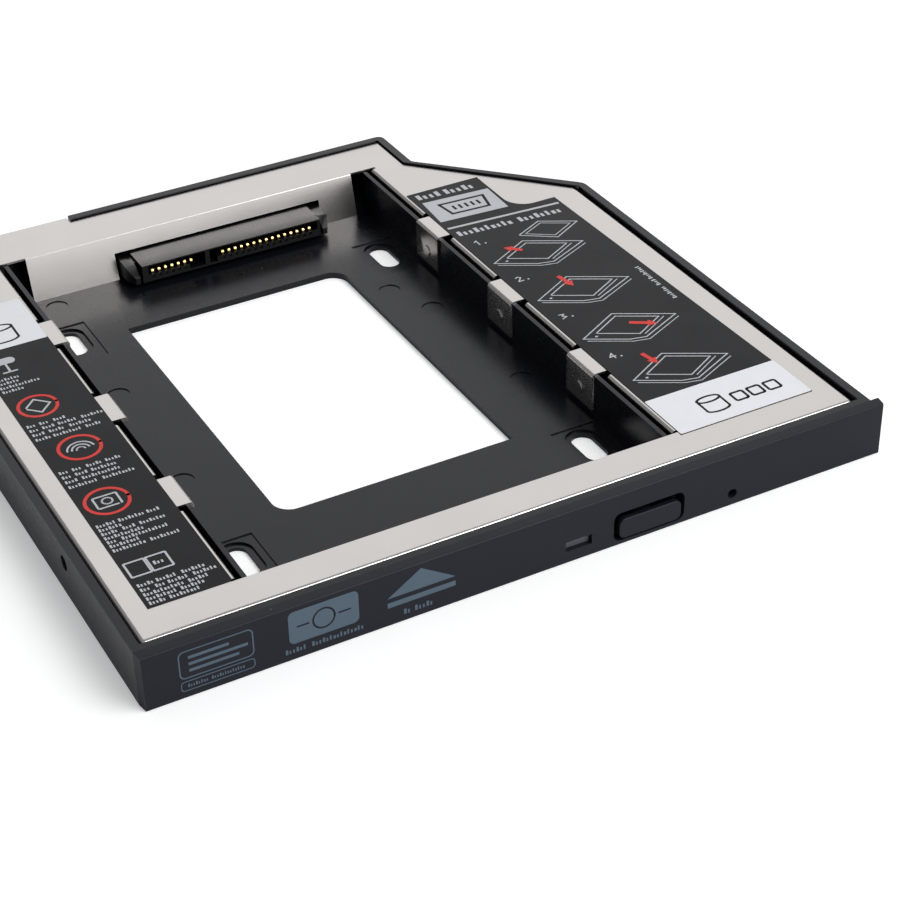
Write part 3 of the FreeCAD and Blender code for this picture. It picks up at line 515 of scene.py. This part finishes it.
class Print:
    """Flat ink on a plane: bars, rings, discs and outlines, each a very thin solid."""

    LAYERS = 3
    THINNING = 0.12
    BLOCK_PITCH = 0.66
    BLOCK_WIDTHS = (0.66, 0.5, 0.5)
    BLOCK_HEIGHTS = (1.0, 0.7, 0.7, 1.0, 0.7)

    def __init__(self, plane: Matrix, height: float) -> None:
        """Starts an empty print.

        Args:
            plane: takes the print's own x, y to the model's frame, its z outwards.
            height: how far the ink's top stands off the plane's zero.
        """
        self.bm = bmesh.new()
        self.plane = plane
        self.height = height
        self.strokes = 0

    def box(self, x0: float, x1: float, y0: float, y1: float) -> None:
        """A filled rectangle.

        Args:
            x0: left.
            x1: right.
            y0: low.
            y1: high.
        """
        self.stroke(((x0 + x1) / 2, y0), ((x0 + x1) / 2, y1), abs(x1 - x0))

    def stroke(self, a: Point, b: Point, width: float) -> None:
        """A straight stroke, a hair thinner or thicker than its neighbours so that crossings lie apart.

        Args:
            a: one end.
            b: the other end.
            width: across it.
        """
        run = Vector(b) - Vector(a)
        middle = (Vector(a) + Vector(b)) / 2
        turn = Matrix.Rotation(math.atan2(run.y, run.x), 4, "Z")
        self.strokes += 1
        thick = self.height * (1.0 - self.THINNING * (self.strokes % self.LAYERS))
        place = Matrix.Translation((middle.x, middle.y, thick / 2))
        grow = Matrix.Diagonal((run.length, width, thick, 1.0))
        bmesh.ops.create_cube(self.bm, size=1.0, matrix=self.plane @ place @ turn @ grow)

    def path(self, points: list[Point], width: float, closed: bool = False) -> None:
        """Strokes through several points, with their ends run together.

        Args:
            points: the corners in order.
            width: across each stroke.
            closed: joins the last to the first.
        """
        ends = points[1:] + points[:1] if closed else points[1:]
        for a, b in zip(points, ends):
            reach = (Vector(b) - Vector(a)).normalized() * width / 2
            self.stroke(tuple(Vector(a) - reach), tuple(Vector(b) + reach), width)

    def disc(self, x: float, y: float, rx: float, ry: float, steps: int) -> None:
        """A filled ellipse.

        Args:
            x: centre.
            y: centre.
            rx: half width.
            ry: half height.
            steps: facets around it.
        """
        place = Matrix.Translation((x, y, self.height / 2)) @ Matrix.Diagonal((rx, ry, self.height, 1.0))
        bmesh.ops.create_cone(self.bm, cap_ends=True, segments=steps, radius1=1.0, radius2=1.0, depth=1.0,
                              matrix=self.plane @ place)

    def ring(self, x: float, y: float, rx: float, ry: float, width: float, start: float = 0.0,
             end: float = 360.0, steps: int = 40) -> None:
        """An elliptical line, whole or part.

        Args:
            x: centre.
            y: centre.
            rx: half width to the middle of the line.
            ry: half height to the middle of the line.
            width: of the line.
            start: first angle in degrees.
            end: last angle in degrees.
            steps: strokes in a full turn.
        """
        count = max(2, round(steps * (end - start) / 360))
        turns = [math.radians(start + (end - start) * i / count) for i in range(count + 1)]
        self.path([(x + rx * math.cos(t), y + ry * math.sin(t)) for t in turns], width)

    def region(self, points: list[Point]) -> None:
        """A filled outline.

        Args:
            points: its corners in order, anticlockwise.
        """
        verts = [self.bm.verts.new(self.plane @ Vector((x, y, 0.0))) for x, y in points]
        face = self.bm.faces.new(verts)
        raised = bmesh.ops.extrude_face_region(self.bm, geom=[face])["geom"]
        lift = self.plane.to_3x3() @ Vector((0.0, 0.0, self.height))
        bmesh.ops.translate(self.bm, vec=lift, verts=[v for v in raised if isinstance(v, bmesh.types.BMVert)])
        bmesh.ops.recalc_face_normals(self.bm, faces=self.bm.faces[:])

    def rounded(self, x0: float, x1: float, y0: float, y1: float, radius: float, steps: int = 6) -> None:
        """A filled rectangle with round corners.

        Args:
            x0: left.
            x1: right.
            y0: low.
            y1: high.
            radius: of each corner.
            steps: facets in each corner.
        """
        self.region(rounded_corners(x0, x1, y0, y1, radius, steps))

    def words(self, x: float, y: float, runs: tuple[float, ...], height: float, lean: float = 0.0) -> None:
        """A row of small blocks that stands for a line of print.

        Args:
            x: left end.
            y: middle of the row.
            runs: length of each run of blocks, in millimetres.
            height: of the blocks.
            lean: rise of the row over its run.
        """
        pitch = height * self.BLOCK_PITCH
        start = x
        for run in runs:
            for i in range(max(1, round(run * MM / pitch))):
                at = x + pitch * i
                tall = height * self.BLOCK_HEIGHTS[i % len(self.BLOCK_HEIGHTS)]
                low = y + lean * (at - start) - height / 2
                wide = pitch * self.BLOCK_WIDTHS[i % len(self.BLOCK_WIDTHS)]
                self.box(at, at + wide, low, low + tall)
            x += run * MM + pitch

    def done(self, name: str, material: bpy.types.Material, slot: Slot = Slot.LABEL) -> bpy.types.Object:
        """Ends the print as one piece on the housing.

        Args:
            name: the piece's name.
            material: the ink.
            slot: the record's finish that it stands for; not used.

        Returns:
            The new object.
        """
        return finished(name, self.bm, material, Rides.HOUSING)


def rounded_corners(x0: float, x1: float, y0: float, y1: float, radius: float, steps: int = 6) -> list[Point]:
    """Corner points of a rounded rectangle, anticlockwise.

    Args:
        x0: left.
        x1: right.
        y0: low.
        y1: high.
        radius: of each corner.
        steps: facets in each corner.

    Returns:
        The points in order.
    """
    centres = ((x1 - radius, y0 + radius, -90), (x1 - radius, y1 - radius, 0),
               (x0 + radius, y1 - radius, 90), (x0 + radius, y0 + radius, 180))
    turns = [(cx, cy, math.radians(first + 90 * i / steps)) for cx, cy, first in centres
             for i in range(steps + 1)]
    return [(cx + radius * math.cos(t), cy + radius * math.sin(t)) for cx, cy, t in turns]


@dataclass
class Tray:
    """The moulded tray, with the ejector pins' marks sunk in its floor."""

    edge: float = 0.1 * MM
    floor_top: float = 1.2 * MM
    mark_depth: float = 0.16 * MM
    mark_radius: float = 2.0 * MM
    mark_facets: int = 36
    marks: tuple[Point, ...] = ((-36.4, 46.8), (-37.5, 13.5), (-37.9, -15.5), (18.3, 21.5), (22.1, 12.0),
                                (24.1, -16.5))

    def sink_marks(self, piece: bpy.types.Object) -> None:
        """Cuts the round marks into the floor and keeps the cut mesh.

        Args:
            piece: the tray.
        """
        bm = bmesh.new()
        for mark in self.marks:
            place = Matrix.Translation((*mm(*mark), self.floor_top + self.mark_depth))
            bmesh.ops.create_cone(bm, cap_ends=True, segments=self.mark_facets, radius1=self.mark_radius,
                                  radius2=self.mark_radius, depth=self.mark_depth * 4, matrix=place)
        mesh = bpy.data.meshes.new("mark_cutter")
        bm.to_mesh(mesh)
        bm.free()
        cutter = bpy.data.objects.new("mark_cutter", mesh)
        bpy.context.scene.collection.objects.link(cutter)
        cut = piece.modifiers.new("marks", "BOOLEAN")
        cut.operation = "DIFFERENCE"
        cut.solver = "EXACT"
        cut.object = cutter
        result = bpy.data.meshes.new_from_object(piece.evaluated_get(bpy.context.evaluated_depsgraph_get()))
        piece.modifiers.remove(cut)
        piece.data = result
        bpy.data.objects.remove(cutter)
        bpy.data.meshes.remove(mesh)

    def build(self, frame: dict, finishes: Finishes) -> None:
        """Makes the tray and its marks.

        Args:
            frame: the loaded frame.
            finishes: the materials.
        """
        bm = node_shape(frame, "tray")
        soften(bm, self.edge)
        shell = finished("tray_shell", bm, finishes.tray, Rides.HOUSING, ("tray",))
        self.sink_marks(shell)
        shade(shell)
        log.info("tray_shell built with %d marks", len(self.marks))


@dataclass
class SteelCover:
    """The folded steel sheet, whose rear wall leans back to a tight fold.

    The wall's places are in millimetres: foot and head as y and z, its span as two x.
    """

    wall_foot: Point = (50.2, 1.2)
    wall_head: Point = (52.3, 9.1)
    wall_span: Point = (-39.6, 26.2)
    roll_start: float = 7.0
    sheet_gauge: float = 0.4
    reach: float = 0.05
    level: float = 0.02
    fold: float = 0.35 * MM
    crease_angle: float = 46.0

    def lean_wall(self, bm: bmesh.types.BMesh) -> None:
        """Leans the rear wall back from its foot and draws its wide roll into one fold.

        Args:
            bm: the sheet.
        """
        (foot_y, foot_z), (head_y, head_z) = self.wall_foot, self.wall_head
        left, right = self.wall_span
        back = head_y - foot_y
        for vert in bm.verts:
            x, y, z = (c / MM for c in vert.co)
            in_depth = foot_y - self.reach < y < head_y + self.reach
            if not (left < x < right and in_depth and z < head_z - self.level):
                continue
            line = foot_y + back * (z - foot_z) / (head_z - foot_z)
            roll = back - math.sqrt(max(0.0, back ** 2 - max(0.0, z - self.roll_start) ** 2))
            inner = y - foot_y - roll > self.sheet_gauge / 2
            vert.co.y = (line + (self.sheet_gauge if inner else 0.0)) * MM
        head = [edge for edge in bm.edges if edge.is_manifold and edge.calc_length() > (right - left) / 2 * MM
                and all(abs(v.co.y - head_y * MM) < self.fold and abs(v.co.z - head_z * MM) < self.level * MM
                        for v in edge.verts)]
        bmesh.ops.bevel(bm, geom=head, offset=self.fold, offset_type="OFFSET", affect="EDGES", segments=4,
                        profile=0.5, material=-1, clamp_overlap=True)
        log.info("the rear wall leans back to %d fold edge(s)", len(head))

    def build(self, frame: dict, finishes: Finishes) -> None:
        """Dresses the sheet.

        Args:
            frame: the loaded frame.
            finishes: the materials.
        """
        bm = node_shape(frame, "top_cover")
        self.lean_wall(bm)
        sheet = finished("cover_sheet", bm, finishes.steel, Rides.HOUSING, ("top_cover",))
        shade(sheet, self.crease_angle)
        log.info("cover_sheet built")


@dataclass
class Front:
    """The bezel, its button, lamp window and spring, and the plain marks printed on its face."""

    edge: float = 0.15 * MM
    cap_edge: float = 0.16 * MM
    lens_edge: float = 0.05 * MM
    face_y: float = -63.5 * MM
    cap_back: float = -61.0 * MM
    cap_top: float = 4.2 * MM
    cap_left: float = 14.8 * MM
    cap_right: float = 24.2 * MM
    top_gap: float = 1.0 * MM
    left_gap: float = 0.6 * MM
    right_gap: float = 0.35 * MM
    travel: float = 0.8 * MM
    ink: float = 0.006 * MM
    frame_box: Box = (-58.0, -46.8, 3.5, 8.2)
    strip_box: Box = (-58.0, -46.8, 1.3, 2.9)
    panel_box: Box = (-41.3, -30.2, 2.9, 8.6)
    panel_middle: float = 5.75
    bar_box: Box = (-25.6, -14.4, 3.3, 4.2)
    triangle: tuple[Point, ...] = ((-25.6, 5.0), (-14.4, 5.0), (-20.0, 8.6))

    def build(self, frame: dict, finishes: Finishes) -> None:
        """Makes the front pieces.

        Args:
            frame: the loaded frame.
            finishes: the materials.
        """
        bm = node_shape(frame, "bezel")
        soften(bm, self.edge)
        shade(finished("bezel_strip", bm, finishes.bezel, Rides.HOUSING, ("bezel",)))
        self.print_marks(finishes)
        bm = node_shape(frame, "eject_button")
        for vert in bm.verts:
            if vert.co.y < self.cap_back:
                vert.co.z -= self.top_gap if vert.co.z > self.cap_top else 0.0
                vert.co.x += self.left_gap if vert.co.x < self.cap_left else 0.0
                vert.co.x -= self.right_gap if vert.co.x > self.cap_right else 0.0
        soften(bm, self.cap_edge, segments=3)
        shade(finished("button_cap", bm, finishes.button, Rides.BUTTON, ("eject_button",)))
        bm = node_shape(frame, "led_lens")
        soften(bm, self.lens_edge)
        shade(finished("lamp_lens", bm, finishes.lens, Rides.HOUSING, ("led_lens",)))
        self.leaf(frame, finishes)
        log.info("bezel, button and lamp built")

    def leaf(self, frame: dict, finishes: Finishes) -> None:
        """Makes the leaf spring, on a mesh of its own.

        Args:
            frame: the loaded frame.
            finishes: the materials.
        """
        bm = node_shape(frame, "button_spring")
        leaf = finished("spring_leaf", bm, finishes.screw, Rides.HOUSING, ("button_spring",))
        shade(leaf)
        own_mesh(leaf)

    def print_marks(self, finishes: Finishes) -> None:
        """Prints three plain marks on the bezel's face.

        Args:
            finishes: the materials.
        """
        face = Matrix.Translation((0.0, self.face_y, 0.0)) @ Matrix.Rotation(math.radians(90), 4, "X")
        ink = Print(face, self.ink)
        ink.path(rounded_corners(*mm(*self.frame_box, 0.8), 4), 0.2 * MM, closed=True)
        for low, length in ((7.0, 6.2), (5.85, 9.0), (4.7, 7.6)):
            ink.box(*mm(-56.6, -56.6 + length, low - 0.25, low + 0.25))
        ink.path(rounded_corners(*mm(*self.strip_box, 0.5), 4), 0.16 * MM, closed=True)
        ink.words(*mm(-57.0, 2.1), (3.2, 5.0), 0.6 * MM)
        ink.rounded(*mm(*self.panel_box, 0.9))
        ink.words(*mm(-42.0, 1.75), (3.6, 8.6), 0.85 * MM)
        ink.region(spots(self.triangle))
        ink.box(*mm(*self.bar_box))
        ink.words(*mm(-23.0, 1.75), (1.2, 3.4), 0.95 * MM)
        ink.done("bezel_print", finishes.bezel_ink, Slot.PLASTIC)
        hole = Print(Matrix.Translation((0.0, -self.ink, 0.0)) @ face, self.ink)
        hole.ring(*mm(-35.75, self.panel_middle, 1.7, 1.7, 0.3))
        for start in (-39.9, -33.3):
            hole.path(spots(((start, self.panel_middle), (start + 1.7, self.panel_middle))), 0.3 * MM)
        hole.done("bezel_print_lines", finishes.bezel, Slot.PLASTIC)


def dress(frame: dict, node: str, material: bpy.types.Material) -> None:
    """Gives a model node that stays a finish of its own.

    Args:
        frame: the loaded frame.
        node: the node's name.
        material: its finish.
    """
    mesh = frame["nodes"][node].data
    mesh.materials.clear()
    mesh.materials.append(material)


@dataclass
class Connectors:
    """The drive socket, the rear plug, the board and their contacts."""

    edge: float = 0.07 * MM
    contact_edge: float = 0.04 * MM
    contact_angle: float = 40.0

    def build(self, frame: dict, finishes: Finishes) -> None:
        """Makes the connectors.

        Args:
            frame: the loaded frame.
            finishes: the materials.
        """
        for node, name in (("drive_socket", "socket_body"), ("rear_plug", "plug_body")):
            bm = node_shape(frame, node)
            soften(bm, self.edge)
            shade(finished(name, bm, finishes.socket, Rides.HOUSING, (node,)))
        for node in ("signal_contacts", "power_contacts"):
            bm = node_shape(frame, node)
            soften(bm, self.contact_edge)
            row = finished(node + "_row", bm, finishes.gold, Rides.HOUSING, (node,))
            shade(row, self.contact_angle)
        for node in ("plug_signal_contacts", "plug_power_contacts"):
            dress(frame, node, finishes.gold)
        dress(frame, "adapter_board", finishes.board)
        dress(frame, "board_screws", finishes.screw)
        log.info("connectors built")


@dataclass
class Labels:
    """The two printed films and the plain print on them.

    Places on the films are x and y in millimetres. A small tray drawing has its sides along icon_u and
    icon_v, and rows gives each row of blocks its y and the lengths of its runs.
    """

    top: float = 9.2 * MM
    ink: float = 0.012 * MM
    line: float = 0.22 * MM
    thin: float = 0.8
    lean: float = -1.5 / 23.5
    icon_u: Point = (8.5, 4.7)
    icon_v: Point = (9.4, -5.5)
    icons: tuple[Point, ...] = ((32.6, 7.9), (32.7, -7.3), (32.8, -22.1), (33.1, -37.2))
    lid: tuple[Point, ...] = ((9.0, 6.8), (14.7, 9.7), (20.9, 6.1), (14.8, 2.7))
    lid_inside: tuple[Point, ...] = ((10.3, 6.7), (14.7, 8.9), (19.4, 6.1), (14.8, 3.6))
    arrows: tuple[tuple[Point, Point], ...] = (
        ((39.4, 9.6), (36.8, 12.1)), ((40.0, -1.7), (40.7, -6.0)), ((42.3, -21.4), (46.4, -24.0)),
        ((38.7, -30.9), (39.5, -34.8)))
    digit_size: float = 1.5
    digits: tuple[tuple[Point, ...], ...] = (
        ((0.1, 0.75), (0.45, 1.0), (0.45, 0.0)),
        ((0.0, 0.85), (0.3, 1.0), (0.6, 0.75), (0.0, 0.0), (0.65, 0.0)),
        ((0.0, 0.95), (0.55, 0.85), (0.2, 0.55), (0.6, 0.25), (0.0, 0.0)),
        ((0.5, 0.0), (0.5, 1.0), (0.0, 0.35), (0.7, 0.35)))
    drum_line: float = 0.42 * MM
    drum_tilt: float = 0.38
    figure_line: float = 0.34 * MM
    row_left: float = -57.6
    row_height: float = 0.8
    rows: tuple[tuple[float, tuple[float, ...]], ...] = (
        (15.1, (4.1,)), (13.9, (3.6,)), (12.6, (6.9,)), (11.3, (3.8,)),
        (-0.4, (1.6, 1.8, 2.2)), (-1.8, (1.6, 2.1, 3.4, 3.6)), (-3.2, (2.2, 2.9, 3.8)),
        (-4.7, (2.4, 4.9, 2.6)),
        (-15.3, (1.6, 1.8, 2.6, 2.6)), (-16.7, (1.6, 2.1, 4.2)), (-18.1, (2.2, 6.2)), (-19.6, (5.0, 5.4)),
        (-31.3, (3.0, 4.0, 2.2)), (-32.4, (3.8,)), (-33.5, (2.8, 2.2, 4.2)), (-34.7, (6.2,)),
        (-35.8, (1.8, 7.2)), (-36.9, (5.0,)), (-38.1, (5.4, 5.0)),
        (-47.7, (2.4, 3.4, 3.8)), (-48.9, (1.8, 1.4, 3.4, 3.6)), (-50.1, (6.4, 3.2)), (-51.2, (4.8, 3.6)),
        (-52.3, (2.6, 4.6)))

    def sheet(self, lift: int = 0) -> Print:
        """Starts a print on the films' top.

        Args:
            lift: layers of ink below it.

        Returns:
            The empty print.
        """
        return Print(Matrix.Translation((0.0, 0.0, self.top + self.ink * lift)), self.ink)

    def put(self, corner: Point, s: float, t: float, shift: Point = (0.0, 0.0)) -> Point:
        """A point of a small tray drawing.

        Args:
            corner: the drawing's near left corner, in millimetres.
            s: share of the way along its first side.
            t: share of the way along its second side.
            shift: extra move in millimetres.

        Returns:
            The point in metres.
        """
        return mm(*(corner[i] + self.icon_u[i] * s + self.icon_v[i] * t + shift[i] for i in (0, 1)))

    def tray_drawing(self, ink: Print, corner: Point) -> None:
        """Draws one small tray in outline.

        Args:
            ink: the print that it goes on.
            corner: the drawing's near left corner, in millimetres.
        """
        outer = ((0.0, 0.0), (1.0, 0.0), (1.0, 1.0), (0.1, 0.93), (0.0, 0.72))
        ink.path([self.put(corner, s, t) for s, t in outer], self.line, closed=True)
        under = (0.15, -0.85)
        ink.path([self.put(corner, 0.0, 0.02, under), self.put(corner, 0.0, 0.72, under),
                  self.put(corner, 0.1, 0.93, under), self.put(corner, 0.98, 1.0, under)],
                 self.line * self.thin)
        bay = ((0.22, 0.1), (0.9, 0.1), (0.9, 0.78), (0.22, 0.78))
        ink.path([self.put(corner, s, t) for s, t in bay], self.line, closed=True)
        ink.path([self.put(corner, s, t) for s, t in ((0.22, 0.86), (0.9, 0.86))], self.line * self.thin)
        ink.disc(*self.put(corner, 0.1, 0.16), *mm(0.28, 0.22), 16)

    def arrow(self, ink: Print, tail: Point, head: Point) -> None:
        """Draws a thick arrow.

        Args:
            ink: the print that it goes on.
            tail: its start, in millimetres.
            head: its tip, in millimetres.
        """
        shaft, barb, tip = 0.42, 1.0, 1.7
        run = (Vector(head) - Vector(tail)).normalized()
        side = Vector((-run.y, run.x))
        neck = Vector(head) - run * tip
        corners = [Vector(tail) - side * shaft, neck - side * shaft, neck - side * barb, Vector(head),
                   neck + side * barb, neck + side * shaft, Vector(tail) + side * shaft]
        ink.region([tuple(c * MM) for c in corners])

    def right_print(self, finishes: Finishes) -> None:
        """Prints the right film: a connector drawing, four numbered tray drawings and a pale end field.

        Args:
            finishes: the materials.
        """
        pale, grey, red, dark = self.sheet(), self.sheet(), self.sheet(2), self.sheet(1)
        grey.region(spots(((32.2, 34.6), (31.7, 26.3), (45.5, 25.4), (45.7, 33.7))))
        grey.words(*mm(32.3, 36.9), (4.4, 6.0), 1.9 * MM, self.lean)
        plug = ((34.6, 32.4), (43.6, 31.9), (42.7, 27.6), (35.2, 28.1))
        dark.path(spots(plug), 0.55 * MM, closed=True)
        for i in range(5):
            x, drop = 36.6 + 1.25 * i, 0.06 * i
            dark.stroke(*spots(((x, 30.9 - drop), (x, 29.3 - drop))), 0.5 * MM)
        grey.stroke(*spots(((31.6, 23.4), (54.3, 21.9))), 0.6 * MM)
        grey.words(*mm(32.2, 20.7), (11.2, 8.6), 1.7 * MM, self.lean)
        for corner, digit in zip(self.icons, self.digits):
            self.tray_drawing(grey, corner)
            left, low = corner[0] + 0.5, corner[1] + 7.4
            strokes = spots((left + self.digit_size * x, low + self.digit_size * y) for x, y in digit)
            grey.path(strokes, 0.24 * MM)
            grey.disc(*mm(left + 1.9, low, 0.2, 0.2), 12)
        left, low = self.icons[0]
        for outline, share in ((self.lid, 1.0), (self.lid_inside, self.thin)):
            grey.path(spots((left + x, low + y) for x, y in outline), self.line * share, closed=True)
        for tail, head in self.arrows:
            self.arrow(red, tail, head)
        pale.region(rounded_corners(*mm(31.12, 56.28, -54.18, -43.5, 0.3), 4))
        self.drum(dark, (40.4, -49.4), 2.1, 4.6)
        for x in (44.2, 47.4, 50.6):
            dark.path(rounded_corners(*mm(x, x + 2.3, -50.7, -48.4, 0.4), 3), 0.46 * MM, closed=True)
        turn = Matrix.Rotation(math.radians(90), 4, "Z")
        side = Print(Matrix.Translation((*mm(53.7, -18.4), self.top)) @ turn, self.ink)
        side.words(0.0, 0.0, (4.6, 2.0, 5.2), 0.85 * MM)
        side.done("side_print", finishes.grey_ink)
        pale.done("end_field_right", finishes.white_ink)
        grey.done("drawings", finishes.grey_ink)
        red.done("arrows", finishes.red_ink)
        dark.done("dark_print_right", finishes.dark_ink)
        log.info("right print built")

    def drum(self, ink: Print, centre: Point, rx: float, high: float) -> None:
        """Draws an upright drum in outline.

        Args:
            ink: the print that it goes on.
            centre: its middle, in millimetres.
            rx: its half width in millimetres.
            high: its height in millimetres.
        """
        x, y = centre
        ry = rx * self.drum_tilt
        upper, lower = y + high / 2 - ry, y - high / 2 + ry
        ink.ring(*mm(x, upper, rx, ry), self.drum_line, steps=28)
        ink.ring(*mm(x, lower, rx, ry), self.drum_line, 180.0, 360.0, 28)
        for side in (-rx, rx):
            ink.path(spots(((x + side, lower), (x + side, upper))), self.drum_line)

    def left_print(self, finishes: Finishes) -> None:
        """Prints the left film: a pale field with a drum, then rings, plain figures and rows of blocks.

        Args:
            finishes: the materials.
        """
        pale, grey, red, dark = self.sheet(), self.sheet(2), self.sheet(1), self.sheet(1)
        pale.region(rounded_corners(*mm(-58.18, -45.12, 24.6, 39.48, 0.3), 4))
        self.drum(dark, (-52.0, 29.4), 2.7, 6.0)
        grey.rounded(*mm(-56.2, -52.4, 19.6, 21.6, 0.9))
        grey.box(*mm(-54.5, -54.1, 17.2, 19.6))
        grey.box(*mm(-55.6, -53.0, 16.8, 17.2))
        for x, y, radius in ((-53.9, 4.8, 3.15), (-52.2, -9.9, 3.35), (-53.7, -25.7, 3.4)):
            red.ring(*mm(x, y, radius, radius, 0.55))
        diamond = ((-56.0, 4.8), (-53.9, 6.9), (-51.8, 4.8), (-53.9, 2.7))
        grey.path(spots(diamond), self.figure_line, closed=True)
        for radius in (0.7, 1.45, 2.2):
            grey.ring(*mm(-52.2, -10.6, radius, radius, 0.3), 10.0, 170.0)
        grey.path(rounded_corners(*mm(-55.6, -51.8, -27.2, -24.2, 0.3), 3), self.figure_line, closed=True)
        grey.ring(*mm(-53.7, -25.7, 0.8, 0.8, 0.3))
        for x in (-57.5, -54.1):
            grey.path(rounded_corners(*mm(x, x + 3.1, -45.5, -41.9, 0.2), 2), self.figure_line, closed=True)
        grey.words(*mm(-53.5, -43.7), (1.6,), 0.9 * MM)
        for y, runs in self.rows:
            grey.words(*mm(self.row_left, y), runs, self.row_height * MM)
        pale.done("end_field_left", finishes.white_ink)
        red.done("rings", finishes.red_ink)
        grey.done("rows_left", finishes.grey_ink)
        dark.done("dark_print_left", finishes.dark_ink)
        log.info("left print built")

    def build(self, frame: dict, finishes: Finishes) -> None:
        """Dresses the films and lays the print on them.

        Args:
            frame: the loaded frame.
            finishes: the materials.
        """
        for node in ("label_left", "label_right"):
            dress(frame, node, finishes.film)
        self.right_print(finishes)
        self.left_print(finishes)


@dataclass
class Studio:
    """Floor, lamps, sky and the photograph's camera."""

    azimuth: float = -27.739
    elevation: float = 34.311
    roll: float = -1.381
    place: Place = (-131.37 * MM, -284.86 * MM, 198.39 * MM)
    focal: float = 86.39
    sensor: float = 36.0
    near_clip: float = 0.01
    floor_half: float = 6.0
    floor_colour: Colour = (0.9, 0.9, 0.9)
    floor_roughness: float = 0.9
    floor_specular: float = 0.1
    floor_lift: float = 0.3
    fade_start: float = 0.15
    fade_end: float = 0.6
    sky: float = 0.3
    sky_colour: Colour = (0.96, 0.98, 1.0)
    lamps: tuple[tuple[str, Place, float, float], ...] = (
        ("key_lamp", (0.42, -0.55, 0.85), 0.7, 7.7),
        ("front_lamp", (0.45, -1.35, 0.35), 1.2, 6.9),
        ("rear_lamp", (0.58, 1.10, 0.85), 1.3, 4.0))

    def camera(self) -> None:
        """Sets up the photograph's camera."""
        data = bpy.data.cameras.new("photo_camera")
        data.lens = self.focal
        data.sensor_width = self.sensor
        data.clip_start = self.near_clip
        camera = bpy.data.objects.new("photo_camera", data)
        bpy.context.scene.collection.objects.link(camera)
        look = Euler((math.radians(90 - self.elevation), 0.0, math.radians(self.azimuth)))
        spin = Matrix.Rotation(math.radians(self.roll), 4, "Z")
        camera.matrix_world = Matrix.Translation(self.place) @ look.to_matrix().to_4x4() @ spin
        bpy.context.scene.camera = camera

    def floor(self) -> None:
        """Lays the pale floor, which shines a little for the camera alone, and more further off."""
        bm = bmesh.new()
        bmesh.ops.create_grid(bm, x_segments=1, y_segments=1, size=self.floor_half)
        mesh = bpy.data.meshes.new("floor")
        bm.to_mesh(mesh)
        bm.free()
        n = Nodes("floor_white")
        n.shader.inputs["Base Color"].default_value = (*self.floor_colour, 1.0)
        n.shader.inputs["Roughness"].default_value = self.floor_roughness
        n.shader.inputs["Specular IOR Level"].default_value = self.floor_specular
        n.shader.inputs["Emission Color"].default_value = (1.0, 1.0, 1.0, 1.0)
        away = n.tree.nodes.new("ShaderNodeVectorMath")
        away.operation = "LENGTH"
        n.tree.links.new(n.coords, away.inputs[0])
        lift = n.ramp(away.outputs["Value"], self.fade_start, self.fade_end, self.floor_lift, 1.0)
        seen = n.tree.nodes.new("ShaderNodeLightPath").outputs["Is Camera Ray"]
        n.link(n.product(seen, lift), "Emission Strength")
        mesh.materials.append(n.material)
        floor = bpy.data.objects.new("floor", mesh)
        bpy.context.scene.collection.objects.link(floor)

    def lamp(self, name: str, place: Place, size: float, power: float) -> None:
        """Adds one soft white lamp that points at the caddy.

        Args:
            name: the lamp's name.
            place: where it hangs.
            size: its side.
            power: in watts.
        """
        data = bpy.data.lights.new(name, "AREA")
        data.shape = "SQUARE"
        data.size = size
        data.energy = power
        lamp = bpy.data.objects.new(name, data)
        bpy.context.scene.collection.objects.link(lamp)
        aim = (-Vector(place)).to_track_quat("-Z", "Y").to_matrix().to_4x4()
        lamp.matrix_world = Matrix.Translation(place) @ aim

    def world(self) -> None:
        """Sets the even sky: white to the camera, softer as light."""
        world = bpy.data.worlds.new("studio_sky")
        bpy.context.scene.world = world
        world.use_nodes = True
        tree = world.node_tree
        back = tree.nodes["Background"]
        back.inputs["Color"].default_value = (*self.sky_colour, 1.0)
        path = tree.nodes.new("ShaderNodeLightPath")
        strength = tree.nodes.new("ShaderNodeMapRange")
        strength.inputs["To Min"].default_value = self.sky
        strength.inputs["To Max"].default_value = 1.0
        tree.links.new(path.outputs["Is Camera Ray"], strength.inputs["Value"])
        tree.links.new(strength.outputs["Result"], back.inputs["Strength"])

    def build(self) -> None:
        """Sets the whole studio."""
        self.floor()
        self.world()
        for name, place, size, power in self.lamps:
            self.lamp(name, place, size, power)
        self.camera()
        bpy.context.scene.view_settings.view_transform = "Standard"
        log.info("studio set")


def main(frame: dict) -> None:
    """Builds every sub-assembly in order.

    Args:
        frame: the loaded frame.
    """
    logging.basicConfig(level=logging.INFO, format="%(name)s: %(message)s")
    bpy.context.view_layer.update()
    finishes = Finishes()
    for part in (Tray(), SteelCover(), Front(), Connectors(), Labels()):
        part.build(frame, finishes)
    Studio().build()


if __name__ == "__main__":
    main(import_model())
